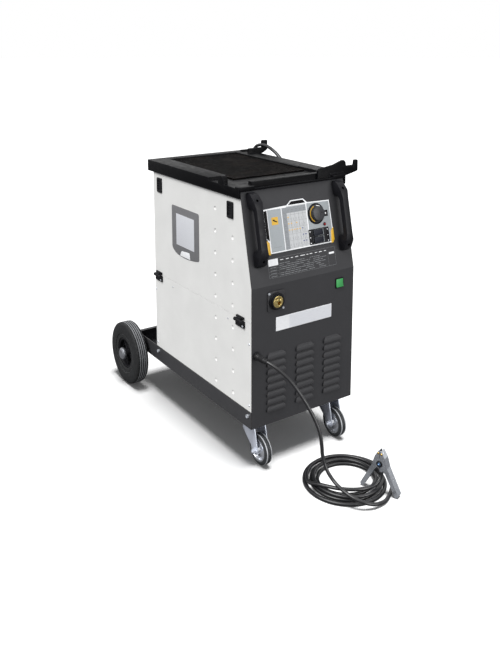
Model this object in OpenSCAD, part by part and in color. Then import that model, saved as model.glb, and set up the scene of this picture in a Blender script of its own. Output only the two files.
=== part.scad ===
// MIG welder on a cart: sheet-metal power source with a wire bay behind an upper side door,
// moulded top tray, gas-bottle platform, two fixed rear wheels and two front swivel castors.
// Millimetres. X points to the machine's right, Y to its rear, Z up; Z = 0 is the floor.

/* [Body] */
// Width of the sheet-metal body
body_w = 390; // [370:5:430]
// Depth of the body, from the front panel to the rear panel
body_d = 604; // [580:4:660]
// Height of the chassis underside above the floor
chassis_z = 134; // [131:1:142]
// Height of the chassis skirt
skirt_h = 53; // [48:1:58]
// Height of the knee, where the front panel starts to lean back
knee_z = 567; // [560:1:578]
// Lean of the upper front panel
lean = 12.2; // [10:0.2:14]
// Height of the top edge of the fixed panels
panel_top = 824; // [815:1:840]
// Thickness of the body panels
sheet = 1.2; // [1:0.1:1.5]
// Thickness of the chassis and front panel
plate = 2; // [1.6:0.1:2.5]
// Height of the seam between the door and the lower side panel
seam_z = 462.5; // [458:0.5:470]
// Depth of the bottle platform behind the body
platform_d = 164; // [158:1:190]
// Diameter of a pressed dimple in the side panels
dimple_d = 13; // [10:0.5:16]
// Depth of a pressed dimple
dimple_depth = 3; // [2:0.5:4]
// Spacing of the dimples in a column
dimple_pitch = 69.5; // [64:0.5:75]

/* [Louvres] */
// Width of one louvre
louvre_w = 67; // [58:1:72]
// Height of one louvre hood
louvre_h = 17; // [14:0.5:19]
// Spacing of the louvres in a column
louvre_pitch = 23.8; // [22:0.2:25]
// Number of louvres in a column
louvre_n = 8; // [4:1:8]
// How far a louvre stands out of the panel
louvre_out = 6.5; // [4:0.5:7.5]

/* [Top tray] */
// How far the tray stands out past the side panels
tray_over = 8; // [5:1:12]
// Height of the tray's side rails
tray_h = 38; // [34:1:44]
// Wall of the moulded tray
tray_wall = 3; // [2.5:0.5:4]
// Width of the rubber mat
mat_w = 276; // [240:2:290]
// Thickness of the rubber mat
mat_t = 4; // [3:0.5:6]
// Height of the cable hooks' prongs above their arms
prong_h = 26; // [20:1:32]

/* [Wheels] */
// Diameter of a rear wheel
wheel_d = 230; // [220:2:236]
// Width of a rear wheel
wheel_w = 48; // [42:1:52]
// Diameter of the rear axle
axle_d = 20; // [16:1:22]
// Distance of the rear axle behind the body
axle_back = 152; // [145:1:156]
// Diameter of a castor wheel
castor_d = 96; // [92:1:100]
// Width of a castor wheel
castor_w = 26; // [22:1:30]
// Distance of a castor's middle from the side of the body
castor_inset = 48.5; // [45:0.5:56]
// Distance of the castor swivel behind the front panel
castor_y = 57; // [52:1:70]
// Trail of the castor wheel behind its swivel
castor_trail = 35; // [30:1:38]

/* [Front fittings] */
// Distance of the torch socket from the middle of the front
socket_x = 110; // [95:1:118]
// Height of the torch socket
socket_z = 518; // [508:1:526]
// Bore of the torch socket
socket_bore = 12; // [10:0.5:14]
// Diameter of the selector knob
knob_d = 46; // [38:1:50]
// Height of the selector knob
knob_h = 16; // [12:1:22]
// Width of the control plate
control_w = 256; // [250:1:262]
// Width of a bow handle
handle_w = 28; // [24:1:30]
// Length of a bow handle
handle_l = 218; // [205:1:230]
// Clear space under a bow handle
handle_gap = 24; // [22:1:28]
// Thickness of a bow handle's grip
grip_t = 17; // [14:1:19]

/* [Wire feeder] */
// Outer diameter of the wire spool
spool_d = 300; // [270:5:310]
// Width of the wire spool
spool_w = 98; // [90:1:103]
// Bore of the wire spool
spool_bore = 51; // [45:1:52]
// Diameter of the drive roll
roll_d = 30; // [26:1:34]

/* [Power parts] */
// Length of the transformer core
core_l = 200; // [170:5:220]
// Height of the transformer core
core_h = 170; // [140:5:190]
// Thickness of the transformer's lamination stack
core_t = 80; // [60:2:90]
// Diameter of the fan
fan_d = 150; // [130:2:160]

/* [Cables] */
// Diameter of the earth cable
earth_d = 10.5; // [10:0.1:11]
// Radius of the earth coil's outer turn
earth_r = 134; // [132:1:136]
// Radial step from turn to turn of the earth coil
earth_step = 20; // [18:0.5:21]
// Diameter of the mains cable
mains_d = 12; // [11:0.1:12.4]
// Radius of the mains coil's outer turn
mains_r = 78; // [76:1:82]

/* [Hidden] */
$fn = 48;
eps = 0.01;

// Clearances
seat = 0.3;    // between pieces that rest on each other
run = 0.05;    // radial running clearance of a shaft
gap = 1;    // round a piece that moves

// Colours
c_dark = "#3a3a3c";
c_grey = "#4c4c4e";
c_white = "#dededc";
c_black = "#1d1e20";
c_zinc = "#b9bec8";
c_rubber = "#2c2c2d";
c_brass = "#cdb46a";
c_silver = "#a4a9ae";
c_copper = "#b06a3c";

// ---- overall places ----
wheel_r = wheel_d / 2;
castor_r = castor_d / 2;
axle_r = axle_d / 2;
axle_y = body_d + axle_back;
half_w = body_w / 2;
castor_track = body_w - 2 * castor_inset;
front_reach = castor_y - castor_trail - castor_r;
y_mid = (axle_y + wheel_r + front_reach) / 2;
skirt_x = half_w + 1.5;    // outer face of the chassis skirt
skirt_top = chassis_z + skirt_h;
pan_floor = chassis_z + plate;
pan_start = plate + seat;
pan_end = body_d + platform_d;
wheel_in = skirt_x + 11.5;    // inner face of a rear wheel
wheel_out = wheel_in + wheel_w;

function lean_y(z) = z < knee_z ? 0 : (z - knee_z) * tan(lean);
// A line parallel to the front panel's face, the given distance behind it.
function front_line(z0, z1, back) = z1 <= knee_z ? [[back, z0], [back, z1]] :
    [[back, z0], [back, knee_z - back * tan(lean / 2)], [lean_y(z1) + back / cos(lean), z1]];
function reversed(list) = [for (i = [len(list) - 1:-1:0]) list[i]];

module machine() { translate([0, -y_mid, 0]) children(); }
module along_x(x0, len) { translate([x0, 0, 0]) rotate([90, 0, 90]) linear_extrude(len) children(); }
module along_y(y0, len) { translate([0, y0 + len, 0]) rotate([90, 0, 0]) linear_extrude(len) children(); }
module rod_x(x0, len, r) { translate([x0, 0, 0]) rotate([0, 90, 0]) cylinder(h = len, r = r); }
module rod_y(y0, len, r) { translate([0, y0, 0]) rotate([-90, 0, 0]) cylinder(h = len, r = r); }
// Local x is the machine's X, y runs up the leaning front panel and z stands out of it.
module on_slope() { translate([0, 0, knee_z]) rotate([90 - lean, 0, 0]) children(); }
// Local x is the machine's X, y is its Z and z stands out of the front panel.
module on_front() { rotate([90, 0, 0]) children(); }
module both_sides() { children(); mirror([1, 0, 0]) children(); }
module block(size, at) { translate(at) cube(size); }
// A rectangle with round corners, its middle at the origin.
module soft_rect(w, h, r) {
    union() {
        square([w - 2 * r, h], center = true);
        square([w, h - 2 * r], center = true);
        for (sx = [-1, 1], sy = [-1, 1]) translate([sx * (w / 2 - r), sy * (h / 2 - r)]) circle(r);
    }
}

// ---- chassis pan ----
tab_r = 18;
bolt_z = chassis_z + 37;
bolt_front_y = 18;
bolt_rear_y = body_d - 17;
bolt_r = 3;
lip = 12;
pad_t = 2;    // raised pad that the gas bottle stands on
pad_in = 8;
module chassis_tray() {
    color(c_dark) machine() difference() {
        union() {
            difference() {
                block([2 * skirt_x, pan_end - pan_start, skirt_h], [-skirt_x, pan_start, chassis_z]);
                block([2 * (skirt_x - plate), pan_end - pan_start - 2 * plate, skirt_h],
                    [plate - skirt_x, pan_start + plate, pan_floor]);
            }
            block([2 * skirt_x - 2 * plate, lip, plate],
                [plate - skirt_x, pan_end - plate - lip, skirt_top - plate]);
            block([2 * (half_w - 15), platform_d - 2 * pad_in - lip, pad_t + eps],
                [15 - half_w, body_d + pad_in, pan_floor - eps]);
            both_sides() along_x(skirt_x - plate, plate) translate([axle_y, axle_z]) {
                circle(tab_r);
                translate([-tab_r, 0]) square([2 * tab_r - 6, chassis_z - axle_z + plate]);
            }
        }
        translate([0, axle_y, axle_z]) rod_x(-skirt_x - gap, 2 * skirt_x + 2 * gap, axle_r + run);
        for (y = [bolt_front_y, bolt_rear_y])
            translate([0, y, bolt_z]) rod_x(-skirt_x - gap, 2 * skirt_x + 2 * gap, bolt_r + run);
        for (sx = [-1, 1], dx = [-1, 1], dy = [-1, 1])
            translate([sx * castor_track / 2 + dx * mount_hole_x, castor_y + dy * mount_hole_y,
                chassis_z - gap])
                cylinder(h = plate + 2 * gap, r = mount_bolt_r + run);
    }
}

// ---- front panel ----
front_top = panel_top + 20;
flange = 16;
slope_len = (front_top - knee_z) / cos(lean);
louvre_x = 108;    // distance of the outer louvre columns from the middle one
louvre_z = chassis_z + 41.5;    // lower edge of the lowest louvre
gland_x = half_w - 16;
gland_z = 363;
gland_r = 8;
power_x = half_w - 59.25;
power_z = 526;
power_s = 27.5;
knob_x = 69.6;
knob_v = 185.6;
selector_x = 71.5;
selector_v = 117.1;
selector_w = 77.5;
selector_h = 46.5;
lamp_x = 98;
lamp_v = 149.7;
lamp_r = 4;
screw_r = 2;
foot_v2 = 252;    // upper handle screw up the slope
foot_v1 = foot_v2 - handle_l + 42;
handle_x = half_w - 33.5;
module louvre_outline(w, h) {
    // A hood as seen from the front: flat slot edge below, round shoulders above.
    intersection() {
        translate([-w / 2, 0]) square([w, h]);
        union() {
            translate([-w / 2, 0]) square([w, h * 0.45]);
            translate([-w / 2 + h * 0.8, 0]) square([w - h * 1.6, h]);
            for (s = [-1, 1]) translate([s * (w / 2 - h * 0.8), h * 0.2]) circle(h * 0.8);
        }
    }
}
// Side section of a hood: it leaves the panel at its top edge and stands out at the slot.
module louvre_section(h, out) {
    polygon([[-plate / 2, 0], [out, 0], [out, h * 0.2], [out * 0.86, h * 0.5], [out * 0.45, h * 0.82],
        [0, h], [-plate / 2, h]]);
}
module hood(w, h, out) {
    intersection() {
        translate([0, 0, -plate / 2]) linear_extrude(out + plate) louvre_outline(w, h);
        translate([-w / 2, 0, 0]) rotate([90, 0, 90]) linear_extrude(w)
            mirror([1, -1]) louvre_section(h, out);
    }
}
module at_louvres() {
    for (col = [-1, 0, 1], row = [0:louvre_n - 1])
        translate([col * louvre_x, louvre_z + row * louvre_pitch, 0]) children();
}
module front_panel() {
    color(c_grey) machine() difference() {
        union() {
            difference() {
                union() {
                    along_x(-half_w, body_w) polygon(concat(
                        reversed(front_line(chassis_z, front_top, 0)),
                            front_line(chassis_z, front_top, plate)));
                    both_sides() along_x(half_w - sheet - seat - plate, plate) polygon(concat(
                        reversed(front_line(skirt_top + tongue_rise + gap, panel_top - gap, plate - eps)),
                        front_line(skirt_top + tongue_rise + gap, panel_top - gap, flange)));
                    along_x(-half_w, body_w) polygon([[lean_y(front_top), front_top],
                        [lean_y(front_top) + 14, front_top], [lean_y(front_top) + 14, front_top - plate],
                        [lean_y(front_top), front_top - plate]]);
                }
                on_front() at_louvres() translate([-louvre_w / 2 + 4, -plate / 2, -plate - gap])
                    cube([louvre_w - 8, louvre_h * 0.6, plate + 2 * gap]);
            }
            on_front() at_louvres() difference() {
                hood(louvre_w, louvre_h, louvre_out);
                translate([0, -gap, -eps]) hood(louvre_w - 3, louvre_h, louvre_out - 1.2);
            }
        }
        on_front() {
            translate([-socket_x, socket_z, -plate - gap])
                cylinder(h = plate + 2 * gap, r = socket_body_r + seat);
            translate([power_x, power_z, -plate - gap]) linear_extrude(plate + 2 * gap)
                square(power_s + 3.2, center = true);
            translate([-gland_x, gland_z, -plate - gap]) cylinder(h = plate + 2 * gap, r = gland_r + run);
        }
        on_slope() {
            translate([knob_x, knob_v, -plate - gap])
                cylinder(h = plate + 2 * gap, r = knob_shaft_r + gap);
            translate([selector_x, selector_v, -plate - gap]) linear_extrude(plate + 2 * gap)
                square([selector_w - 8, selector_h - 2], center = true);
            translate([lamp_x, lamp_v, -plate - gap]) cylinder(h = plate + 2 * gap, r = lamp_r + run);
            for (s = [-1, 1], v = [foot_v1, foot_v2]) translate([s * handle_x, v, -plate - gap])
                cylinder(h = plate + 2 * gap, r = screw_r + run);
        }
        small_bores();
    }
}

// ---- side panels, door, rear panel, divider ----
column_1 = 198;    // dimple columns behind the front panel
column_2 = 100.5;
column_1_top = panel_top - 54;
column_2_top = panel_top - 125;
dimple_n1 = 9;
dimple_n2 = 8;
panel_gap = plate + seat;    // side panels start this far behind the front panel's face
panel_end = body_d - sheet - seat;
tongue = 34;
tongue_rise = 8;    // how far the tongue reaches above the skirt
module dish() {
    r = dimple_d / 2;
    t = sheet;
    d = dimple_depth;
    rotate_extrude() polygon([[0, -d], [r * 0.4, -d * 0.93], [r * 0.75, -d * 0.5], [r, 0], [r + 0.6, 0],
        [r + 0.6, -t], [r - 0.3, -t], [r * 0.75 - 0.5, -d * 0.5 - t], [r * 0.4, -d * 0.93 - t],
            [0, -d - t]]);
}
// Dimple places [y, z] of both columns.
function dimples() = concat(
    [for (i = [0:dimple_n1 - 1]) [column_1, column_1_top - i * dimple_pitch]],
    [for (i = [0:dimple_n2 - 1]) [column_2, column_2_top - i * dimple_pitch]]);
function within(list, z0, z1) = [for (p = list) if (p[1] > z0 + dimple_d && p[1] < z1 - dimple_d) p];
// A white side sheet from z0 to z1, on the right; the left ones are its mirror.
module side_sheet(z0, z1) {
    spots = within(dimples(), z0, z1);
    difference() {
        along_x(half_w - sheet, sheet) polygon(concat(front_line(z0, z1, panel_gap),
            [[panel_end, z1], [panel_end, z0]]));
        for (p = spots) translate([0, p[0], p[1]]) rod_x(half_w - 2 * sheet, 3 * sheet, dimple_d / 2);
    }
    for (p = spots) translate([half_w, p[0], p[1]]) rotate([0, 90, 0]) dish();
}
// The joggled tongue that drops inside the skirt and takes the chassis bolts.
module panel_tongue() {
    x1 = skirt_x - plate - seat;
    difference() {
        union() {
            block([sheet, panel_end - panel_gap - 24, tongue + tongue_rise],
                [x1 - sheet, panel_gap + 12, skirt_top - tongue]);
            block([half_w - x1 + sheet, panel_end - panel_gap - 24, sheet],
                [x1 - sheet, panel_gap + 12, skirt_top + seat]);
        }
        for (y = [bolt_front_y, bolt_rear_y]) translate([0, y, bolt_z])
            rod_x(x1 - 2 * sheet, 4 * sheet, bolt_r + run);
    }
}
small_holes = [[panel_end - 6, chassis_z + 267], [13, chassis_z + 263], [panel_end - 9, chassis_z + 69],
    [13, chassis_z + 71]];
module small_bores() {
    both_sides() for (p = small_holes) translate([0, p[0], p[1]]) rod_x(half_w - 8, 10, screw_r + run);
}
module lower_side_panel() {
    color(c_white) machine() mirror([1, 0, 0]) {
        difference() {
            side_sheet(skirt_top + seat, seam_z - seat);
            small_bores();
        }
        panel_tongue();
    }
}
module right_side_panel() {
    color(c_white) machine() {
        difference() {
            side_sheet(skirt_top + seat, panel_top);
            small_bores();
        }
        panel_tongue();
    }
}

latch_w = 32;
latch_l = 50;
latch_y1 = 110;
latch_y2 = body_d - 48;
latch_z = panel_top - 42;
latch_travel = 8;
slot_w = latch_w - 12;
slot_l = latch_l - 16;
door_top = panel_top - 2;
rib = 8;
module door_ring(inset) {
    polygon(concat(front_line(seam_z + seat + inset, door_top - inset, panel_gap + inset),
        [[panel_end - inset, door_top - inset], [panel_end - inset, seam_z + seat + inset]]));
}
module side_door() {
    color(c_white) machine() mirror([1, 0, 0]) difference() {
        union() {
            side_sheet(seam_z + seat, door_top);
            along_x(half_w - sheet - rib, rib + eps) difference() {
                door_ring(24);
                door_ring(26);
            }
        }
        for (y = [latch_y1, latch_y2]) {
            translate([half_w - 2 * sheet - rib, y, latch_z - latch_travel / 2]) rotate([90, 0, 90])
                linear_extrude(4 * sheet + rib) soft_rect(slot_w, slot_l + latch_travel, 4);
            block([rib + gap, slot_w + 12, slot_l + 24],
                [half_w - sheet - rib - gap, y - slot_w / 2 - 6, latch_z - slot_l / 2 - 12]);
        }
    }
}

fan_x = -60;
fan_z = 300;
valve_x = 60;
valve_z = 640;
nipple_r = 6;
mains_x = 115;
mains_z = 330;
mains_gland_r = 10;
grille_r = fan_d / 2 - 6;
module fan_slots() {
    pitch = 14;
    intersection() {
        circle(grille_r);
        for (i = [-4:4]) translate([0, i * pitch]) square([2 * grille_r, 8], center = true);
    }
}
module rear_panel() {
    color(c_dark) machine() difference() {
        union() {
            along_y(body_d - sheet, sheet) polygon([[-half_w + sheet + seat, pan_floor + seat],
                [half_w - sheet - seat, pan_floor + seat], [half_w - sheet - seat, panel_top],
                [-half_w + sheet + seat, panel_top]]);
            both_sides() block([sheet, flange, panel_top - skirt_top - tongue],
                [half_w - 2 * sheet - seat, body_d - sheet - flange, skirt_top + tongue]);
            block([body_w - 2 * sheet - 2 * seat, flange, sheet],
                [-half_w + sheet + seat, body_d - sheet - flange, panel_top - sheet]);
        }
        along_y(body_d - 2 * sheet, 4 * sheet) {
            translate([fan_x, fan_z]) difference() {
                fan_slots();
                square([10, fan_d], center = true);
            }
            translate([mains_x, mains_z]) circle(mains_gland_r + run);
            translate([valve_x, valve_z]) circle(nipple_r + seat);
        }
        small_bores();
    }
}

divider_x = 15;
bay_floor = seam_z - 8;
module divider_panel() {
    bay_y0 = 22;
    bay_y1 = body_d - sheet - flange - gap;
    color(c_silver) machine() {
        difference() {
            along_x(divider_x, sheet) polygon(concat(front_line(bay_floor, panel_top - seat, bay_y0),
                [[bay_y1, panel_top - seat], [bay_y1, bay_floor]]));
            translate([0, spool_y, spool_z]) rod_x(0, 2 * divider_x, 6 + run);
        }
        block([half_w - 2 * sheet - seat + divider_x, bay_y1 - bay_y0, sheet],
            [-half_w + 2 * sheet + seat, bay_y0, bay_floor]);
        block([sheet, bay_y1 - bay_y0, 22], [-half_w + sheet + seat, bay_y0, bay_floor - 22 + sheet]);
        block([half_w - divider_x - sheet - seat, 24, sheet],
            [divider_x, bay_y1 - 24, panel_top - seat - sheet]);
    }
}

// ---- top tray ----
tray_x = half_w + tray_over;
tray_z = panel_top + seat;
tray_top = tray_z + tray_h;
tray_y0 = 88;
tray_y1 = body_d + 25;
deck_z = tray_top - 9;
mat_y0 = 180;
mat_y1 = body_d - 14;
hook_t = 8;
hook_y = 66;
rear_hook_t = 14;
rear_hook_y = body_d - 66;
hook_floor = tray_top + 17;    // floor of the hooks' cable seats
prong_x = tray_x + 21;
prong_w = 20;
ledge_y = 64;
cap_w = 46;
module front_hook() {
    floor_z = front_top + 2;
    along_y(hook_y, hook_t) polygon([[tray_x - 104, floor_z], [tray_x - 104, tray_top + 11],
        [tray_x - 98, tray_top + 17], [tray_x - 40, tray_top + 25], [tray_x - 6, tray_top + 36],
            [tray_x + 2, tray_top + 36],
        [tray_x + 8, tray_top + 30], [tray_x + 10, hook_floor + 2], [tray_x + 12, hook_floor],
        [tray_x + 42, hook_floor], [tray_x + 44, hook_floor + 2],
            [tray_x + 45, hook_floor + prong_h - 12],
        [tray_x + 47, hook_floor + prong_h - 10], [tray_x + 57, hook_floor + prong_h - 10],
        [tray_x + 60, hook_floor + prong_h - 13], [tray_x + 60, tray_top], [tray_x + 56, tray_top - 4],
        [tray_x - 1, floor_z]]);
}
module rear_hook() {
    along_y(rear_hook_y, rear_hook_t) polygon([[tray_x - 40, tray_top - 2], [tray_x - 40, hook_floor - 3],
        [tray_x - 36, hook_floor], [prong_x, hook_floor], [prong_x, hook_floor + prong_h - 3],
        [prong_x + 3, hook_floor + prong_h], [prong_x + prong_w, hook_floor + prong_h],
        [prong_x + prong_w, hook_floor - 8], [prong_x + 4, hook_floor - 18],
            [tray_x - 1, hook_floor - 26],
        [tray_x - 1, tray_top - 2]]);
}
rail_end = 222;
lug_y = 152;
module top_tray() {
    band_y = lean_y(front_top) - 7;
    band_z = front_top + seat;
    color(c_black) machine() {
        difference() {
            union() {
                // side rails and deck
                block([2 * tray_x, tray_y1 - rail_end, tray_h], [-tray_x, rail_end, tray_z]);
                block([2 * tray_x, rail_end - ledge_y + eps, deck_z - tray_z],
                    [-tray_x, ledge_y, tray_z]);
                // the right rail runs on to the front
                block([tray_x - mat_w / 2 - 8, rail_end - ledge_y, tray_h],
                    [mat_w / 2 + 8, ledge_y, tray_z]);
                // the left one ends in a rounded lug
                along_x(-tray_x, 16) translate([lug_y, 0]) {
                    translate([0, tray_top]) circle(15);
                    translate([-15, tray_z]) square([30, tray_h]);
                }
                // front band with its end caps, and the ledge behind it
                block([body_w, 22, 6], [-half_w, band_y, band_z]);
                both_sides() block([cap_w + 4, 26, 13], [half_w - cap_w, band_y - 1, band_z]);
                both_sides() block([tray_over - gap, ledge_y - lean_y(panel_top) + 10, tray_h - 5],
                    [half_w + gap, lean_y(panel_top), tray_z]);
                block([2 * tray_x - 60, 20, tray_h + 3], [60 - tray_x, ledge_y + 11, tray_z]);
                block([tray_x - mat_w / 2 - 30, 16, 6], [mat_w / 2 + 30, mat_y1, tray_top - 1]);
            }
            // hollow underside
            block([2 * (tray_x - tray_wall), tray_y1 - tray_y0 - 2 * tray_wall,
                deck_z - tray_wall - tray_z + gap],
                [tray_wall - tray_x, tray_y0 + tray_wall, tray_z - gap]);
            block([body_w + 2 * seat, 64, front_top - panel_top + seat],
                [-half_w - seat, tray_y0 - 44, panel_top]);
            // seat of the mat
            translate([0, (mat_y0 + mat_y1) / 2, deck_z]) linear_extrude(tray_h)
                soft_rect(mat_w, mat_y1 - mat_y0, 6);
            // recess behind the front band
            block([body_w - 2 * cap_w - 12, 13, tray_h],
                [-half_w + cap_w + 6, ledge_y - 2, front_top + 3]);
        }
        // foot that rests on the rear panel
        block([body_w - 40, 6, deck_z - tray_z], [20 - half_w, body_d - 12, tray_z]);
        front_hook();
        rear_hook();
    }
}
module top_mat() {
    groove = 8;
    rows = floor((mat_y1 - mat_y0 - 24) / groove);
    color(c_rubber) machine() difference() {
        translate([0, (mat_y0 + mat_y1) / 2, deck_z + seat]) linear_extrude(mat_t)
            soft_rect(mat_w - 2 * seat, mat_y1 - mat_y0 - 2 * seat, 6 - seat);
        for (i = [0:rows - 1]) block([mat_w - 20, 2, mat_t],
            [-mat_w / 2 + 10, mat_y0 + 13 + i * groove, deck_z + mat_t - 1]);
    }
}

// ---- control plate and its fittings ----
plate_v0 = 90.1;
plate_v1 = 222.1;
plate_t = 1.5;
knob_shaft_r = 3;
tab_v = 238.1;
rocker_w = 42.5;
rocker_h = 18;
rocker_gap = 4.4;
tilt = 8;
rocker_pin_r = 1.3;
rocker_pin_l = 1.5;
bezel_t = 3;
flange_s = 60;
flange_screw = 36;
module control_outline() {
    c = control_w / 2;
    polygon([[-c + 12, plate_v0], [c - 10.5, plate_v0], [c, plate_v0 + 12], [c, plate_v0 + 46],
        [c - 2, plate_v1], [40, plate_v1 + 3], [26, tab_v], [-22, tab_v], [-38, plate_v1 + 3],
        [-c, plate_v1], [-c, plate_v0 + 46], [-c + 10, plate_v0 + 40], [-c, plate_v0 + 34]]);
}
module control_plate() {
    color(c_silver) machine() on_slope() difference() {
        translate([0, 0, seat]) linear_extrude(plate_t) control_outline();
        translate([knob_x, knob_v, 0]) cylinder(h = 3 * plate_t, r = knob_shaft_r + gap);
        translate([selector_x, selector_v, 0]) linear_extrude(3 * plate_t)
            square([selector_w + 2 * seat, selector_h + 2 * seat], center = true);
        translate([lamp_x, lamp_v, 0]) cylinder(h = 3 * plate_t, r = lamp_r + seat);
    }
}
module selector_knob() {
    z0 = seat + plate_t + seat;
    r = knob_d / 2;
    color(c_black) machine() on_slope() translate([knob_x, knob_v, z0]) difference() {
        union() {
            rotate_extrude() polygon([[0, 0], [r + 5, 0], [r + 5, 2], [r + 3.5, 3.5], [r, 3.5],
                [r, knob_h - 2],
                [r - 2, knob_h], [0, knob_h]]);
            translate([0, 0, -z0 - 14]) cylinder(h = z0 + 15, r = knob_shaft_r);
        }
        for (i = [0:17]) rotate(i * 20 + 10) translate([r + 1.3, 0, 4]) cylinder(h = knob_h, r = 2.1);
        translate([r * 0.3, -0.8, knob_h - 0.8]) cube([r, 1.6, 2]);
    }
}
// A rocker's place in the selector block.
module selector_place(row) {
    on_slope() translate([selector_x - 3, selector_v + row * (rocker_h + rocker_gap) / 2, 0]) children();
}
module rocker(w, h, travel) {
    // Section across the pivot: two shallow faces above, a round body below.
    rotate([0, travel, 0]) rotate([-90, 0, 0]) translate([0, 0, -h / 2]) linear_extrude(h)
        mirror([0, 1]) polygon([[-w / 2, 4.8], [0, 3.2], [w / 2, 4.8], [w / 2 - 1.5, -1], [w / 4, -6],
            [-w / 4, -6], [-w / 2 + 1.5, -1]]);
    rocker_pins(h, 0);
}
// The pins at both ends of a rocker, or with play their bores.
module rocker_pins(h, play) {
    rod_y(-h / 2 - rocker_pin_l - play, h + 2 * rocker_pin_l + 2 * play, rocker_pin_r + play);
}
module front_bezels() {
    color(c_black) machine() {
        difference() {
            on_slope() translate([selector_x, selector_v, 0]) {
                translate([0, 0, -9]) linear_extrude(10)
                    square([selector_w - 9, selector_h - 3], center = true);
                translate([0, 0, seat]) linear_extrude(bezel_t) soft_rect(selector_w, selector_h, 1.5);
            }
            for (row = [-1, 1]) selector_place(row) {
                cube([rocker_w + 2 * gap, rocker_h + 1.2, 40], center = true);
                rocker_pins(rocker_h, run);
            }
        }
        on_front() translate([power_x, power_z, 0]) difference() {
            union() {
                translate([0, 0, seat]) linear_extrude(bezel_t - 1)
                    soft_rect(power_s + 4, power_s + 4, 1.5);
                translate([0, 0, -14]) linear_extrude(15) square(power_s + 2.6, center = true);
            }
            cube([power_s, power_s, 24], center = true);
            rotate(90) rocker_pins(power_s - 1.2, run);
        }
        on_front() translate([-socket_x, socket_z, seat]) difference() {
            union() {
                linear_extrude(3) soft_rect(flange_s, flange_s, 6);
                cylinder(h = 9, r = socket_body_r + 5);
            }
            translate([0, 0, -gap]) cylinder(h = 12, r = socket_body_r + run);
            for (a = [135, 315]) rotate(a) translate([flange_screw, 0, -gap])
                cylinder(h = 6, r = screw_r + run);
        }
    }
}
module upper_selector() { color(c_black) machine() selector_place(1) rocker(rocker_w, rocker_h, tilt); }
module lower_selector() { color(c_black) machine() selector_place(-1) rocker(rocker_w, rocker_h, tilt); }
module power_rocker() {
    color("#5cb870") machine() on_front() translate([power_x, power_z, 0]) rotate(90)
        rocker(power_s - 2, power_s - 1.2, tilt);
}
module indicator_lamp() {
    color("#c02020") machine() on_slope() translate([lamp_x, lamp_v, -6]) {
        cylinder(h = 9, r = lamp_r);
        translate([0, 0, 9 - eps]) rotate_extrude() polygon([[0, 0], [lamp_r, 0], [lamp_r * 0.9, 1.2],
            [lamp_r * 0.55, 2.2], [0, 2.7]]);
    }
}

// ---- bow handles ----
grip_top = handle_gap + grip_t;
foot_l = 42;
module handle() {
    v0 = foot_v1 - foot_l / 2 + 4;
    difference() {
        intersection() {
            translate([-handle_w / 2, v0, 0]) rotate([90, 0, 90]) linear_extrude(handle_w) polygon([
                [0, seat], [foot_l - 6, seat], [foot_l, 3], [foot_l + 8, handle_gap - 4],
                    [foot_l + 18, handle_gap],
                [handle_l - foot_l - 18, handle_gap], [handle_l - foot_l - 8, handle_gap - 4],
                [handle_l - foot_l, 3], [handle_l - foot_l + 6, seat], [handle_l, seat], [handle_l, 12],
                [handle_l - 8, 24], [handle_l - 30, grip_top - 3], [handle_l - 50, grip_top],
                [50, grip_top], [30, grip_top - 3], [8, 24], [0, 12]]);
            // Seen from the front the grip is narrower than the feet.
            translate([0, v0, 0]) linear_extrude(grip_top + gap) polygon(handle_face());
        }
        for (v = [foot_v1, foot_v2]) translate([0, v, -gap]) {
            cylinder(h = 60, r = screw_r + run);
            translate([0, 0, 12]) cylinder(h = 60, r = 4.5);
        }
    }
}
// Outline of a handle from the front: broad feet, waisted grip, chamfered corners.
function handle_face() = let (w = handle_w / 2, g = handle_w / 2 - 3, l = handle_l) [
    [-w + 4, 0], [w - 4, 0], [w, 5], [w, 34], [g, 52], [g, l - 52], [w, l - 34], [w, l - 5], [w - 4, l],
    [-w + 4, l], [-w, l - 5], [-w, l - 34], [-g, l - 52], [-g, 52], [-w, 34], [-w, 5]];
module handles() {
    color(c_black) machine() both_sides() on_slope() translate([handle_x, 0, 0]) handle();
}

// ---- torch socket ----
socket_body_r = 21;
module torch_socket() {
    color(c_brass) machine() on_front() translate([-socket_x, socket_z, 0]) difference() {
        union() {
            translate([0, 0, -30]) cylinder(h = 42, r = socket_body_r);
            translate([0, 0, -52]) cylinder(h = 24, r = 9);
            translate([0, 0, 12 - eps]) cylinder(h = 2, r = socket_body_r - 2);
        }
        translate([4, -5, -24]) cylinder(h = 60, r = socket_bore / 2);
        for (p = [[-4, 9], [6, 9]]) translate([p[0], p[1], 0]) cylinder(h = 60, r = 2.4);
        translate([0, 0, -60]) cylinder(h = 20, r = 1.5);
    }
}

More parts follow.
